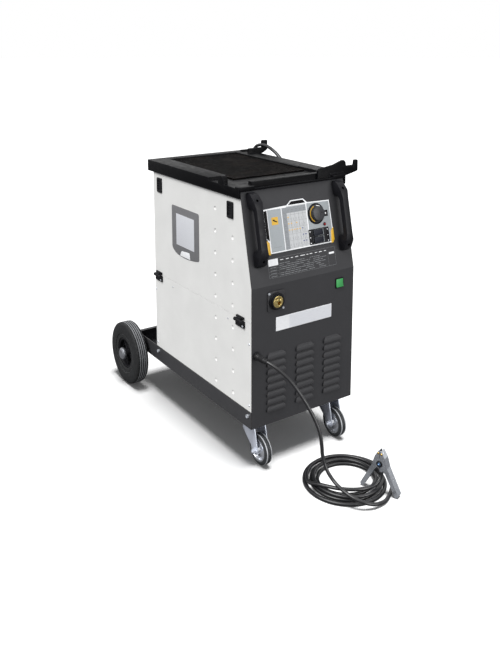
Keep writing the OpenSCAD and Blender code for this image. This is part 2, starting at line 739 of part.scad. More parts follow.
// ---- fasteners ----
screw_head_r = 3.6;
mount_bolt_r = 4;
mount_hole_x = 32;
mount_hole_y = 32;
module screw_x(y, z, x0) {
    translate([x0, y, z]) rotate([0, 90, 0]) {
        translate([0, 0, -5]) cylinder(h = 5 + eps, r = screw_r);
        cylinder(h = 1.8, r1 = screw_head_r, r2 = screw_head_r - 1.2);
    }
}
module fasteners() {
    color(c_zinc) machine() {
        // chassis bolts
        both_sides() for (y = [bolt_front_y, bolt_rear_y]) translate([skirt_x, y, bolt_z])
            rotate([0, 90, 0]) {
            translate([0, 0, -7]) cylinder(h = 7 + eps, r = bolt_r);
            difference() {
                cylinder(h = 5, r = 6, $fn = 6);
                translate([0, 0, 3.5]) cylinder(h = 2, r = 3);
            }
        }
        // panel screws
        both_sides() for (p = small_holes) screw_x(p[0], p[1], half_w);
        // handle screws, sunk in their wells
        both_sides() on_slope() for (v = [foot_v1, foot_v2]) translate([handle_x, v, 0]) {
            translate([0, 0, -6]) cylinder(h = 18 + eps, r = screw_r);
            translate([0, 0, 12]) cylinder(h = 3, r = 4);
        }
        // socket screws
        on_front() translate([-socket_x, socket_z, 0]) for (a = [135, 315]) rotate(a)
            translate([flange_screw, 0, 0]) {
            translate([0, 0, seat]) cylinder(h = 3 + eps, r = screw_r);
            translate([0, 0, seat + 3]) cylinder(h = 1.8, r = screw_head_r);
        }
        // castor bolts with their heads inside the pan
        for (sx = [-1, 1], dx = [-1, 1], dy = [-1, 1])
            translate([sx * castor_track / 2 + dx * mount_hole_x, castor_y + dy * mount_hole_y,
                chassis_z - castor_plate_t]) {
                cylinder(h = castor_plate_t + plate + eps, r = mount_bolt_r);
                translate([0, 0, castor_plate_t + plate]) cylinder(h = 5, r = 7, $fn = 6);
            }
    }
}

// ---- latches and hinges ----
module latch(y) {
    color(c_black) machine() mirror([1, 0, 0]) translate([half_w, y, latch_z]) rotate([90, 0, 90]) {
        difference() {
            union() {
                translate([0, 0, seat]) linear_extrude(4) soft_rect(latch_w, latch_l, 3);
                translate([0, 0, -sheet - 4]) linear_extrude(sheet + 5)
                    soft_rect(slot_w - gap, slot_l - gap, 3);
                translate([0, 4, -sheet - 5]) linear_extrude(5 - seat)
                    soft_rect(slot_w + 6, slot_l + 10, 3);
            }
            translate([0, 0, 2]) linear_extrude(6) soft_rect(latch_w - 12, latch_l - 14, 2);
        }
        for (i = [-1, 0, 1]) translate([-latch_w / 2 + 7, i * 8 - 1, 1.5]) cube([latch_w - 14, 2, 2]);
    }
}
module latch_front() { latch(latch_y1); }
module latch_rear() { latch(latch_y2); }

hinge_y1 = 56;
hinge_y2 = body_d - 35;
hinge_x = half_w + 8.5;    // pivot line of the door
hinge_z = seam_z - 3.5;
knuckle_r = 5.5;
hinge_pin_r = 2.5;
hinge_l = 44;
hinge_arm = 11;    // length of each of a body half's two knuckles
knuckle_l = hinge_l - 2 * hinge_arm - 2;
module at_hinges() {
    for (y = [hinge_y1, hinge_y2]) translate([0, y, 0]) children();
}
module body_hinges() {
    color(c_black) machine() mirror([1, 0, 0]) at_hinges() {
        difference() {
            union() {
                block([6, hinge_l, 13], [half_w + 0.2, -hinge_l / 2, hinge_z - 19.5]);
                for (s = [-1, 1]) translate([0, s * (hinge_l - hinge_arm) / 2 - hinge_arm / 2, 0]) {
                    block([6, hinge_arm, 13], [half_w + 0.2, 0, hinge_z - 13]);
                    translate([hinge_x, 0, hinge_z]) rod_y(0, hinge_arm, knuckle_r);
                }
            }
            translate([half_w, -(hinge_l - hinge_arm) / 2, hinge_z - 14]) rod_x(0, 20, screw_r);
        }
        translate([hinge_x, gap - hinge_l / 2, hinge_z]) rod_y(0, hinge_l - 2 * gap, hinge_pin_r);
    }
}
module door_hinges() {
    color(c_black) machine() mirror([1, 0, 0]) at_hinges() difference() {
        union() {
            translate([hinge_x, -knuckle_l / 2, hinge_z]) rod_y(0, knuckle_l, knuckle_r);
            block([hinge_x - half_w + 2, knuckle_l, 5], [half_w + 0.2, -knuckle_l / 2, hinge_z + 5]);
            block([5.8, hinge_l - 6, 6], [half_w + 0.2, 3 - hinge_l / 2, hinge_z + 6.5]);
        }
        translate([hinge_x, -hinge_l / 2, hinge_z]) rod_y(0, hinge_l, hinge_pin_r + run);
    }
}

// ---- rear wheels ----
axle_z = wheel_r;
hub_r = 57;
boss_r = 17;
cap_r = 22;
module rear_axle() {
    end = wheel_out + 3;
    color(c_zinc) machine() translate([0, axle_y, axle_z]) {
        rod_x(-end, 2 * end, axle_r);
        // push-on caps
        both_sides() translate([wheel_out + gap, 0, 0]) rotate([0, 90, 0]) difference() {
            rotate_extrude() polygon([[0, 0], [cap_r, 0], [cap_r, 5], [cap_r - 1.5, 8.5],
                [cap_r - 6, 11.5],
                [0, 13]]);
            translate([0, 0, -gap]) cylinder(h = 2 * gap + eps, r = axle_r);
        }
    }
}
module wheel_at(side) {
    machine() translate([side * (wheel_in + wheel_w / 2), axle_y, axle_z]) rotate([0, side * 90, 0])
        children();
}
// Local z points away from the machine; z = 0 is the middle of the wheel.
module rear_tyre(side) {
    w = wheel_w / 2;
    r = wheel_r;
    groove = 2.4;
    depth = 2;
    pitch = 7.6;
    color(c_rubber) wheel_at(side) rotate_extrude() polygon(concat(
        [[hub_r, -w + 4], [hub_r + 14, -w + 2], [hub_r + 16, -w], [r - 9, -w + 0.8],
            [r - 3, -w + 3], [r - 0.6, -w + 6]],
        [for (i = [-2:2], k = [0:3]) [k == 0 || k == 3 ? r - (abs(i) > 1 ? 0.5 : 0) : r - depth - 0.6,
            i * pitch + (k < 2 ? -groove / 2 : groove / 2)]],
        [[r - 0.6, w - 6], [r - 3, w - 3], [r - 9, w - 0.8], [hub_r + 16, w], [hub_r + 14, w - 2],
            [hub_r, w - 4]]));
}
module rear_hub(side) {
    w = wheel_w / 2;
    color(c_black) wheel_at(side) difference() {
        union() {
            rotate_extrude() polygon([[hub_r - 7, -w + 6], [hub_r - seat, -w + 6], [hub_r - seat, w - 6],
                [hub_r - 7, w - 6], [hub_r - 9, w - 14], [hub_r - 9, -w + 14]]);
            translate([0, 0, -4]) cylinder(h = 8, r = hub_r - 8);
            translate([0, 0, -w - 9]) cylinder(h = wheel_w + 9, r = boss_r);
            for (i = [0:4]) rotate(i * 72 + 36) translate([boss_r - 2, -3, -9])
                cube([hub_r - boss_r - 4, 6, 18]);
        }
        translate([0, 0, -w - 13]) cylinder(h = wheel_w + 16, r = axle_r + run);
        for (i = [0:4]) rotate(i * 72) for (a = [-11, 11]) rotate(a) translate([35, 0, -w])
            cylinder(h = wheel_w, r = 10.5);
    }
}
module tyre_left() { rear_tyre(-1); }
module hub_left() { rear_hub(-1); }
module tyre_right() { rear_tyre(1); }
module hub_right() { rear_hub(1); }

// ---- castors ----
castor_plate_t = 3;
fork_t = 3;
fork_top = chassis_z - castor_plate_t - 10;
fork_in = castor_w / 2 + 5;
mount_plate = 84;
castor_axle_r = 4;
raceway_r = 24;
king_r = 6;
module at_castor(side) { machine() translate([side * castor_track / 2, castor_y, 0]) children(); }
module castor_plates() {
    color(c_zinc) for (side = [-1, 1]) at_castor(side) difference() {
        union() {
            translate([0, 0, chassis_z - castor_plate_t - 0.1]) linear_extrude(castor_plate_t)
                soft_rect(mount_plate, mount_plate, 8);
            translate([0, 0, fork_top + 5]) cylinder(h = 7, r = raceway_r);
            translate([0, 0, fork_top - fork_t - 4]) cylinder(h = 14, r = king_r);
            translate([0, 0, fork_top - fork_t - 5]) cylinder(h = 4.5, r = 11);
        }
        for (dx = [-1, 1], dy = [-1, 1]) translate([dx * mount_hole_x, dy * mount_hole_y, chassis_z - 9])
            cylinder(h = 12, r = mount_bolt_r + run);
    }
}
module castor_fork(side) {
    end = fork_in + fork_t;
    color(c_zinc) at_castor(side) {
        difference() {
            union() {
                both_sides() along_x(fork_in, fork_t) {
                    polygon([[-30, fork_top], [30, fork_top], [31, fork_top - 24], [20, fork_top - 36],
                        [-castor_trail + 13, castor_r + 2], [-castor_trail - 12, castor_r + 2],
                            [-38, fork_top - 30]]);
                    translate([-castor_trail, castor_r]) circle(13);
                }
                translate([0, 0, fork_top - fork_t]) linear_extrude(fork_t) soft_rect(2 * end, 60, 1);
                translate([0, 0, fork_top - eps]) cylinder(h = 4.5, r = raceway_r + 4);
            }
            translate([0, 0, fork_top - 40]) cylinder(h = 60, r = king_r + run);
        }
        // axle bolt with its nut
        translate([0, -castor_trail, castor_r]) {
            rod_x(-end - 12, 2 * end + 24, castor_axle_r);
            both_sides() rotate([0, 90, 0]) translate([0, 0, end - eps]) {
                cylinder(h = 2, r = 10);
                cylinder(h = 9, r = 7.5, $fn = 6);
            }
        }
    }
}
module fork_left() { castor_fork(-1); }
module fork_right() { castor_fork(1); }
rim_r = castor_r - 13;
module castor_hub(side) {
    at_castor(side) translate([0, -castor_trail, castor_r]) rotate([0, 90, 0]) children();
}
module castor_tyre(side) {
    w = castor_w / 2;
    r = castor_r;
    color(c_rubber) castor_hub(side) rotate_extrude() polygon(concat(
        [[rim_r + seat, -w + 1], [rim_r + 5, -w], [r - 4, -w + 2.5], [r - 0.6, -w + 6]],
        [for (i = [-1:1], k = [0:3]) [k == 0 || k == 3 ? r - (i == 0 ? 0 : 0.3) : r - 1.7,
            i * 4.4 + (k < 2 ? -0.8 : 0.8)]],
        [[r - 0.6, w - 6], [r - 4, w - 2.5], [rim_r + 5, w], [rim_r + seat, w - 1]]));
}
module castor_rim(side) {
    w = castor_w / 2;
    color(c_zinc) castor_hub(side) difference() {
        rotate_extrude() polygon([[0, -w - 4], [9, -w - 4], [12, -w + 3], [rim_r - 12, -w + 5],
            [rim_r - 8, -w + 8],
            [rim_r - 4, -w + 1], [rim_r, -w + 1], [rim_r, w - 1], [rim_r - 4, w - 1], [rim_r - 8, w - 8],
            [rim_r - 12, w - 5], [12, w - 3], [9, w + 4], [0, w + 4]]);
        translate([0, 0, -w - 5]) cylinder(h = castor_w + 10, r = castor_axle_r + run);
    }
}
module castor_tyre_left() { castor_tyre(-1); }
module castor_rim_left() { castor_rim(-1); }
module castor_tyre_right() { castor_tyre(1); }
module castor_rim_right() { castor_rim(1); }

// ---- cables: swept tubes ----
function unit(v) = v / norm(v);
function tangents(p) = [for (i = [0:len(p) - 1]) unit(p[min(i + 1, len(p) - 1)] - p[max(i - 1, 0)])];
function carried(t, n, i = 0) = i == len(t) ? [] :
    let (m = unit(n - (n * t[i]) * t[i])) concat([m], carried(t, m, i + 1));
// Points of a smooth curve through p, with steps points to each span.
function curve(p, steps) = concat([for (i = [0:len(p) - 2], k = [0:steps - 1])
    let (a = p[max(i - 1, 0)], b = p[i], c = p[i + 1], d = p[min(i + 2, len(p) - 1)], t = k / steps)
    b + (c - a) * t / 2 + (2 * a - 5 * b + 4 * c - d) * t * t / 2
        + (3 * b - a - 3 * c + d) * t * t * t / 2],
    [p[len(p) - 1]]);
module tube(p, r, sides) {
    t = tangents(p);
    n = carried(t, abs(t[0][2]) > 0.7 ? [1, 0, 0] : [0, 0, 1]);
    rings = [for (i = [0:len(p) - 1]) let (b = cross(t[i], n[i]))
        for (k = [0:sides - 1]) p[i] + r * (cos(k * 360 / sides) * n[i] + sin(k * 360 / sides) * b)];
    last = len(rings) - sides;
    polyhedron(points = rings, faces = concat(
        [for (k = [1:sides - 2]) [0, k, k + 1]],
        [for (k = [1:sides - 2]) [last, last + k + 1, last + k]],
        [for (i = [0:len(p) - 2], k = [0:sides - 1])
            let (a = i * sides + k, b = i * sides + (k + 1) % sides)
            [a, a + sides, b]],
        [for (i = [0:len(p) - 2], k = [0:sides - 1])
            let (a = i * sides + k, b = i * sides + (k + 1) % sides)
            [b, a + sides, b + sides]]));
}
// A coil piled in two layers: it winds in, climbs in half a turn and winds out on top.
// Its centre points run anticlockwise from angle a0; r is the outer turn, step the radial step.
function coil_point(q, c, r, step, n_in, n_out, a0, z0, rise) = let (
    climb = min(max((q - n_in) / 0.5, 0), 1),
    rad = r - step * min(q, n_in) + step * max(q - n_in - 0.5, 0),
    a = a0 + q * 360) [c[0] + rad * cos(a), c[1] + rad * sin(a),
        z0 + rise * climb * climb * (3 - 2 * climb)];
function coil_path(c, r, step, n_in, n_out, a0, z0, rise, head_l, tail_l) = let (
    total = n_in + 0.5 + n_out, count = round(total * 24),
    p = [for (i = [0:count]) coil_point(i * total / count, c, r, step, n_in, n_out, a0, z0, rise)],
    a1 = a0 + total * 360)
    concat([p[0] - head_l * [-sin(a0), cos(a0), 0]], p, [p[count] + tail_l * [-sin(a1), cos(a1), 0]]);
// Points that carry a cable straight on from the ends of a wound path.
lead = 6;
function before(path) = path[0] - lead * unit(path[1] - path[0]);
function beyond(path) = let (n = len(path) - 1) path[n] + lead * unit(path[n] - path[n - 1]);
// Least distance between turns of a wound tube, less its diameter.
function own_gap(p, d) = min([for (i = [0:len(p) - 1], j = [i + 12:1:len(p) - 1]) norm(p[i] - p[j])]) - d;

coil_fit = 0.7;    // space between the layers of a coil
sides = 8;
wound_sides = 6;
earth_c = [4, -198];
earth_in = 2.5;
earth_out = 19 / 12;
earth_a0 = 300;
earth_path = coil_path(earth_c, earth_r, earth_step, earth_in, earth_out, earth_a0, earth_d / 2 + run,
    earth_d + coil_fit, earth_d, earth_d);
earth_run_points = concat([[-179, -24, 363], [-179, -34, 363], [-178, -45, 362.5], [-169, -67, 356],
    [-155, -90, 341], [-139, -113, 318], [-124, -134, 288], [-110, -154, 254], [-98, -172, 218],
    [-90, -187, 180], [-88, -195, 142], [-88, -198, 117], [-85, -204, 92], [-81, -216, 68],
        [-76, -235, 50],
    [-74, -256, 42], [-72, -279, 38], [-63, -306, 31], [-45, -328, 23], [-18, -340, 14], [14, -341, 9],
    [37, -333, 6.5]], [before(earth_path), earth_path[0]]);
lug_u = 3;
clamp_at = [55.5, -286.5];
clamp_turn = -70;
lug_at = clamp_at + lug_u * [cos(clamp_turn), sin(clamp_turn)];
lug_bend = 32;    // the tail turns up into the lug in a quarter arc of this radius
lug_foot = 28;
earth_tail_points = concat([earth_path[len(earth_path) - 1], beyond(earth_path)], [[-105, -170, 19.5],
    [-101, -187, 24.5], [-95, -203, 28], [-85, -222, 29.5], [-71, -243, 30], [-52, -262, 30],
        [-33, -276, 30],
    [-13, -285, 29.5], [8, -289, 28.3]],
    [for (t = [0:15:90]) [lug_at[0] - lug_bend + lug_bend * sin(t), lug_at[1],
        lug_foot + lug_bend * (1 - cos(t))]],
    [[lug_at[0], lug_at[1], lug_foot + lug_bend + 10]]);
plug_clear = 44;    // straight end of the mains coil, which takes the plug clear of it
mains_c = [320, body_d - 134];
mains_in = 1;
mains_out = 1;
mains_a0 = 270;
mains_path = coil_path(mains_c, mains_r, mains_d + 3, mains_in, mains_out, mains_a0, mains_d / 2 + run,
    mains_d + coil_fit, mains_d, plug_clear);
// The mains cable's route, with y measured from the rear panel.
mains_route = [[115, 36, 330], [115, 46, 330], [115, 60, 328], [115, 74, 322.5], [115, 85, 314],
    [115, 94, 302.5],
    [115, 99, 289], [115, 101, 275], [117, 101, 262], [122, 100, 250], [129, 99, 240], [139.5, 97.5, 232],
    [151, 96, 227], [164, 94, 225.5], [177, 92, 227], [188.5, 90.5, 232], [199, 89, 240], [206, 88, 250],
    [211, 87, 262], [213, 86, 276], [213, 85, 300], [213, 82, 340], [213, 76, 400], [213, 67, 480],
    [213, 55, 560], [213, 41, 640], [213, 28, 710], [214, 13, 775], [214, -1, 830], [215, -17, 863],
    [216, -35, 881], [216, -52, 887.5], [216, -68, 890], [216, -86, 890.5], [216, -109, 888],
        [217, -134, 880],
    [220, -158, 867], [224, -182, 846], [229, -202, 815], [232, -218, 770], [234, -230, 712],
        [235, -238, 640],
    [235, -243, 560], [235, -246, 480], [235, -247, 400], [235, -246, 320], [235, -241, 240],
        [235, -230, 165],
    [235, -219, 110], [235, -213, 76], [236, -212, 56], [242, -212, 37.5], [252, -212, 24.5],
        [265, -212, 14.6],
    [280, -212, 8.4], [291, -212, 6.5]];
mains_run_points = concat([for (p = mains_route) p + [0, body_d, 0]],
    [before(mains_path), mains_path[0]]);
module earth_cord_run() { color(c_black) machine() tube(curve(earth_run_points, 1), earth_d / 2, sides); }
module earth_coil() { color(c_black) machine() tube(earth_path, earth_d / 2, wound_sides); }
module earth_cord_tail() { color(c_black) machine()
    tube(curve(earth_tail_points, 1), earth_d / 2, sides); }
module mains_cord() { color(c_black) machine() tube(curve(mains_run_points, 1), mains_d / 2, sides); }
module mains_coil() { color(c_black) machine() tube(mains_path, mains_d / 2, wound_sides); }

// ---- glands and plug ----
boot_l = 27;
module gland(bore, hole_r, len) {
    // Local z points out of the panel, whose face is at z = 0.
    difference() {
        union() {
            translate([0, 0, -10]) cylinder(h = 12, r = hole_r);
            translate([0, 0, seat]) cylinder(h = 7, r = hole_r + 3.5, $fn = 6);
            translate([0, 0, -plate - seat - 4]) cylinder(h = 4, r = hole_r + 3.5, $fn = 6);
            rotate_extrude() polygon(concat([[0, 7], [bore + 3.6, 7]],
                [for (i = [0:4], k = [0:3]) [bore + 3.4 - i * 0.35 - (k == 1 || k == 2 ? 0.8 : 0),
                    9 + (i + [0, 0.12, 0.45, 0.57][k]) * (len - 12) / 5]],
                        [[bore + 1.5, len], [0, len]]));
        }
        translate([0, 0, -11]) cylinder(h = len + 12, r = bore);
    }
}
module cable_glands() {
    color(c_black) machine() {
        on_front() translate([-gland_x, gland_z, 0]) gland(earth_d / 2 + 0.1, gland_r, boot_l + 7);
        translate([mains_x, body_d, mains_z]) rotate([-90, 0, 0])
            gland(mains_d / 2 + 0.1, mains_gland_r, 44);
    }
}
pin_r = 2.5;
module mains_plug() {
    end = mains_path[len(mains_path) - 1];
    color(c_black) machine() translate([end[0] + 8, end[1], end[2]]) rotate([0, -90, 0]) {
        difference() {
            rotate_extrude() polygon([[0, 0], [8.2, 0], [8.8, 14], [9.5, 18], [14, 20], [15.5, 24],
                [15.5, 52],
                [17.5, 56], [17.5, 68], [15, 70], [0, 70]]);
            translate([0, 0, -gap]) cylinder(h = 12, r = mains_d / 2 + 0.1);
        }
        for (a = [90, 210, 330]) rotate(a) translate([9, 0, 70 - eps]) cylinder(h = 19, r = pin_r);
    }
}

// ---- earth clamp ----
pivot_z = 88;
pivot_r = 3;
arm_w = 21;    // width over the fixed arm's cheeks
inner_w = 17;
arm_t = 1.6;
jaw_z = 118;
contact_r = 4;
arm_out = [[5, 126], [16, 108], [21, 92], [24, 80], [60, 9]];
arm_in = [[57, 2.5], [50, 2.5], [16, 66], [8, 76], [-9, 80], [-9, 96], [1.2, 104], [1.2, 126]];
module at_clamp() {
    machine() translate([clamp_at[0], clamp_at[1], 0]) rotate(clamp_turn) children();
}
// One pressed arm: two cheeks joined by a web along the outer edge.
module clamp_arm(width) {
    difference() {
        union() {
            for (y = [-width / 2, width / 2 - arm_t]) along_y(y, arm_t) polygon(concat(arm_out, arm_in));
            along_y(-width / 2, width) polygon(concat(arm_out,
                [for (i = [len(arm_out) - 1:-1:0]) arm_out[i] - [arm_t + 0.3, 0]]));
            translate([0, 0, jaw_z]) rod_x(0.4, 8.6, contact_r);
        }
        translate([0, 0, pivot_z]) rod_y(-width, 2 * width, pivot_r + run);
    }
}
module clamp_fixed_arm() {
    color(c_zinc) at_clamp() {
        clamp_arm(arm_w);
        // cable lug: barrel, and a tongue bolted to the arm
        difference() {
            union() {
                translate([lug_u, 0, 62]) cylinder(h = 14, r = 6.6);
                along_y(-5, 10) polygon([[lug_u, 73], [26.5, 73], [25.5, 75.5], [lug_u, 76]]);
            }
            translate([lug_u, 0, 61]) cylinder(h = 12, r = earth_d / 2 + 0.1);
        }
    }
}
module clamp_moving_arm() { color(c_zinc) at_clamp() mirror([1, 0, 0]) clamp_arm(inner_w); }
module clamp_pivot() {
    wire_r = 0.7;
    curl_r = pivot_r + wire_r - 0.1;
    curls = 4;
    pitch = 1.8;
    helix = [for (i = [0:curls * 8])
        [curl_r * cos(i * 45), (i / 8 - curls / 2) * pitch, curl_r * sin(i * 45)]];
    color(c_zinc) at_clamp() translate([0, 0, pivot_z]) {
        rod_y(-arm_w / 2 - 2.2, arm_w + 4.4, pivot_r);
        for (y = [-arm_w / 2 - 2.5, arm_w / 2 + 0.3]) rod_y(y, 2.2, 5);
        tube(concat([helix[0] - [0, 0, 9]], helix, [helix[curls * 8] + [0, 0, 9]]), wire_r, 6);
    }
}

// ---- wire bay ----
spool_x = -106;
spool_y = body_d - 164;
spool_z = 630;
core_r = 60;
wind_r = 125;
flange_t = 4;
module spool_hub() {
    r = spool_bore / 2 - run;
    left = spool_x - spool_w / 2;
    right = spool_x + spool_w / 2;
    color(c_black) machine() translate([0, spool_y, spool_z]) {
        rod_x(left - 8, divider_x - seat - left + 8, r);
        rod_x(right + seat, 8, r + 12);
        rod_x(left - seat - 12, 12, r + 7);
        for (i = [0:5]) rotate([i * 60, 0, 0]) translate([left - seat - 12, -4, r + 5]) cube([12, 8, 6]);
        rod_x(divider_x - seat - 10, 20, 6);
        rod_x(divider_x + sheet + seat, 6, 11);
    }
}
module spool_place() {
    machine() translate([spool_x, spool_y, spool_z]) rotate([0, 90, 0]) children();
}
module wire_spool() {
    w = spool_w / 2;
    color("#26262a") spool_place() difference() {
        rotate_extrude() polygon([[spool_bore / 2, -w], [spool_d / 2, -w], [spool_d / 2, -w + flange_t],
            [core_r, -w + flange_t], [core_r, w - flange_t], [spool_d / 2, w - flange_t],
                [spool_d / 2, w],
            [spool_bore / 2, w]]);
        for (i = [0:5]) rotate(i * 60) translate([43, 0, -w - gap])
            cylinder(h = spool_w + 2 * gap, r = 11);
    }
}
module wound_wire() {
    w = spool_w / 2 - flange_t - seat;
    color(c_copper) spool_place() rotate_extrude()
        polygon([[core_r + seat, -w], [wind_r - 2, -w], [wind_r, -w + 3],
        [wind_r, w - 3], [wind_r - 2, w], [core_r + seat, w]]);
}
feed_x = -socket_x;    // line of the wire
feed_y = 120;
feed_t = 8;
feed_plate_x = feed_x + 18;
roll_gap = 0.8;
drive_z = socket_z - roll_d / 2 - roll_gap / 2;
press_z = socket_z + roll_d / 2 + roll_gap / 2;
roll_w = 12;
shaft_r = 4;
arm_y = feed_y + 40;
arm_z = press_z + 7.6;
lever_y = feed_y - 40;
lever_z = drive_z - 2;
arm_x = feed_x + 4;
slot_x = feed_x + 10;
module feed_motor() {
    color(c_silver) machine() {
        difference() {
            block([feed_t, 120, 84], [feed_plate_x, feed_y - 60, drive_z - 32]);
            translate([0, feed_y, drive_z]) rod_x(feed_plate_x - gap, feed_t + 2 * gap, 6);
        }
        translate([0, feed_y, drive_z]) {
            rod_x(feed_plate_x + feed_t - eps, divider_x - seat - feed_plate_x - feed_t, 29);
            rod_x(divider_x - seat - 5, 5, 34);
            rod_x(feed_x - roll_w / 2 - 3, feed_plate_x + feed_t - feed_x + roll_w / 2 + 4, shaft_r);
            rod_x(feed_x - roll_w / 2 - seat - 3, 3, 7);
        }
        // pins of the arm and of the lever
        translate([0, arm_y, arm_z]) rod_x(arm_x - 4, feed_plate_x - arm_x + 5, shaft_r);
        translate([0, arm_y, arm_z]) rod_x(arm_x - 4, 3.5, 7);
        translate([0, lever_y, lever_z]) rod_x(slot_x - 8, feed_plate_x - slot_x + 9, shaft_r);
        // inlet guide
        difference() {
            translate([feed_x, feed_y + 30, socket_z]) rod_y(0, 26, 6);
            translate([feed_x, feed_y + 29, socket_z]) rod_y(0, 28, 1.2);
        }
        block([feed_plate_x - feed_x + 1, 16, 6], [feed_x, feed_y + 35, socket_z - 5]);
    }
}
module roll() {
    w = roll_w / 2;
    r = roll_d / 2;
    rotate([0, 90, 0]) rotate_extrude()
        polygon([[shaft_r + run, -w], [r, -w], [r, -1.2], [r - 1, 0], [r, 1.2],
        [r, w], [shaft_r + run, w]]);
}
module drive_roll() { color(c_zinc) machine() translate([feed_x, feed_y, drive_z]) roll(); }
module pressure_roll() { color(c_zinc) machine() translate([feed_x, feed_y, press_z]) roll(); }
module pressure_arm() {
    low = press_z - 6;
    color(c_black) machine() {
        difference() {
            along_x(arm_x + 3, 9) polygon([[arm_y + 9, arm_z - 8], [arm_y + 9, arm_z + 8],
                [feed_y, arm_z + 10],
                [lever_y - 4, arm_z + 8], [lever_y - 8, arm_z + 2], [lever_y - 8, arm_z - 3],
                    [feed_y - 18, low + 4],
                [feed_y, low - 2], [feed_y + 20, low]]);
            translate([0, arm_y, arm_z]) rod_x(arm_x, 14, shaft_r + run);
            block([5.6, 26, 40], [slot_x - 2.2, lever_y - 20, arm_z - 20]);
        }
        translate([0, feed_y, press_z]) {
            rod_x(feed_x - roll_w / 2 - 3, 16, shaft_r);
            rod_x(feed_x - roll_w / 2 - seat - 3, 3, 7);
        }
    }
}
module tension_lever() {
    color(c_black) machine() translate([slot_x + 0.6, lever_y, lever_z]) {
        difference() {
            union() {
                rod_x(-2.2, 4.4, 8);
                cylinder(h = 64, r = 1.9);
            }
            rod_x(-10, 20, shaft_r + run);
        }
        translate([0, 0, 60]) difference() {
            rotate_extrude() polygon([[0, 0], [6, 0], [9, 3], [9, 18], [7, 21], [0, 21]]);
            for (i = [0:7]) rotate(i * 45) translate([10.4, 0, 4]) cylinder(h = 30, r = 2.4);
        }
    }
}

// ---- power parts ----
core_x = -40;
core_y = 330;
choke_x = -90;
choke_y = 150;
choke_s = 0.45;
foot_t = 2;
// Laminated frame with two windows, its length along y, standing at z = 0.
module frame_core(l, h, t) {
    leg = l * 0.18;
    window = (l - 3 * leg) / 2;
    along_x(-t / 2, t) difference() {
        translate([-l / 2, 0]) square([l, h]);
        for (s = [-1, 1]) translate([s * (leg + window) / 2 - window / 2, leg])
            square([window, h - 2 * leg]);
    }
}
module winding(l, h, t, build) {
    leg = l * 0.18;
    translate([0, 0, leg + 2]) linear_extrude(h - 2 * leg - 4) difference() {
        soft_rect(t + 2 * build, leg + 2 * build, 5);
        square([t + 1, leg + 1], center = true);
    }
}
module transformer_core() {
    floor_z = pan_floor + seat;
    color("#55585c") machine() {
        translate([core_x, core_y, floor_z + 8]) frame_core(core_l, core_h, core_t);
        for (s = [-1, 1]) translate([core_x, core_y + s * (core_l / 2 - 14), floor_z]) {
            block([core_t + 36, 24, foot_t], [-core_t / 2 - 18, -12, 0]);
            for (u = [-1, 1]) block([foot_t, 24, 30],
                [u * (core_t / 2 + 1) - 1 - (u > 0 ? 0.1 : -0.1), -12, 0]);
        }
        translate([choke_x, choke_y, floor_z])
            frame_core(core_l * choke_s, core_h * choke_s, core_t * choke_s * 1.3);
    }
}
module transformer_windings() {
    floor_z = pan_floor + seat;
    pitch = core_l * 0.41;
    color(c_copper) machine() {
        translate([core_x, core_y, floor_z + 8]) for (i = [-1:1]) translate([0, i * pitch, 0])
            winding(core_l, core_h, core_t, core_l * 0.105);
        translate([choke_x, choke_y, floor_z])
            winding(core_l * choke_s, core_h * choke_s, core_t * choke_s * 1.3, 8);
    }
}
sink_x = divider_x + sheet + seat;
bay_z = 560;    // lower edge of the heat sink and of the board
part_gap = 20;  // left free between the board, the heat sink and the spool's pin
board_y = 90;
board_w = 130;
board_h = 180;
sink_y = board_y + board_w + part_gap;
sink_l = spool_y - part_gap - sink_y;
sink_h = 140;
sink_t = 8;
fin_l = 42;
fin_t = 3;
fin_pitch = 14.5;
fin_n = floor((sink_l - fin_t / 2) / fin_pitch);
module rectifier() {
    color(c_silver) machine() translate([sink_x, sink_y, bay_z]) {
        block([sink_t, sink_l, sink_h], [0, 0, 0]);
        for (i = [0:fin_n]) block([fin_l, fin_t, sink_h], [sink_t - 1, fin_t / 2 + i * fin_pitch, 0]);
    }
}
module circuit_board() {
    color("#3c6b4a") machine() translate([sink_x + 8, board_y, bay_z]) {
        block([1.6, board_w, board_h], [0, 0, 0]);
        for (y = [8, board_w - 8], z = [8, board_h - 8]) translate([0, y, z]) rod_x(-8, 8 + eps, 3);
        for (y = [28, 58]) translate([0, y, 130]) rod_x(1.5, 40, 12);
        block([24, 30, 36], [1.5, 88, 115]);
        block([14, 60, 12], [1.5, 18, 20]);
        block([18, 26, 26], [1.5, 88, 45]);
    }
}
module gas_valve() {
    rear = body_d - sheet - seat;
    color(c_brass) machine() translate([valve_x, 0, valve_z]) {
        block([34, 26, 34], [-17, rear - 26, -17]);
        translate([0, rear - 13, 0]) cylinder(h = 52, r = 13);
        rod_y(rear - eps, 32, nipple_r);
        for (i = [0:2]) translate([0, rear + 14 + i * 6, 0]) rotate([-90, 0, 0])
            cylinder(h = 5, r1 = nipple_r + 1.4, r2 = nipple_r - 0.6);
        rod_y(rear - 44, 20, 5);
    }
}
fan_r = fan_d / 2 - 5;
fan_y = body_d - sheet - seat;
module fan_frame() {
    color(c_black) machine() translate([fan_x, 0, fan_z]) {
        along_y(fan_y - 27, 27) difference() {
            soft_rect(fan_d + 10, fan_d + 10, 8);
            circle(fan_d / 2);
            for (sx = [-1, 1], sy = [-1, 1]) translate([sx, sy] * (fan_d / 2 - 5)) circle(2.5);
        }
        rod_y(fan_y - 27, 6.5, 24);
        rod_y(fan_y - 27, 23, shaft_r);
        for (a = [45:90:315]) rotate([0, a, 0]) block([fan_d / 2 - 18, 5, 6], [20, fan_y - 27, -3]);
    }
}
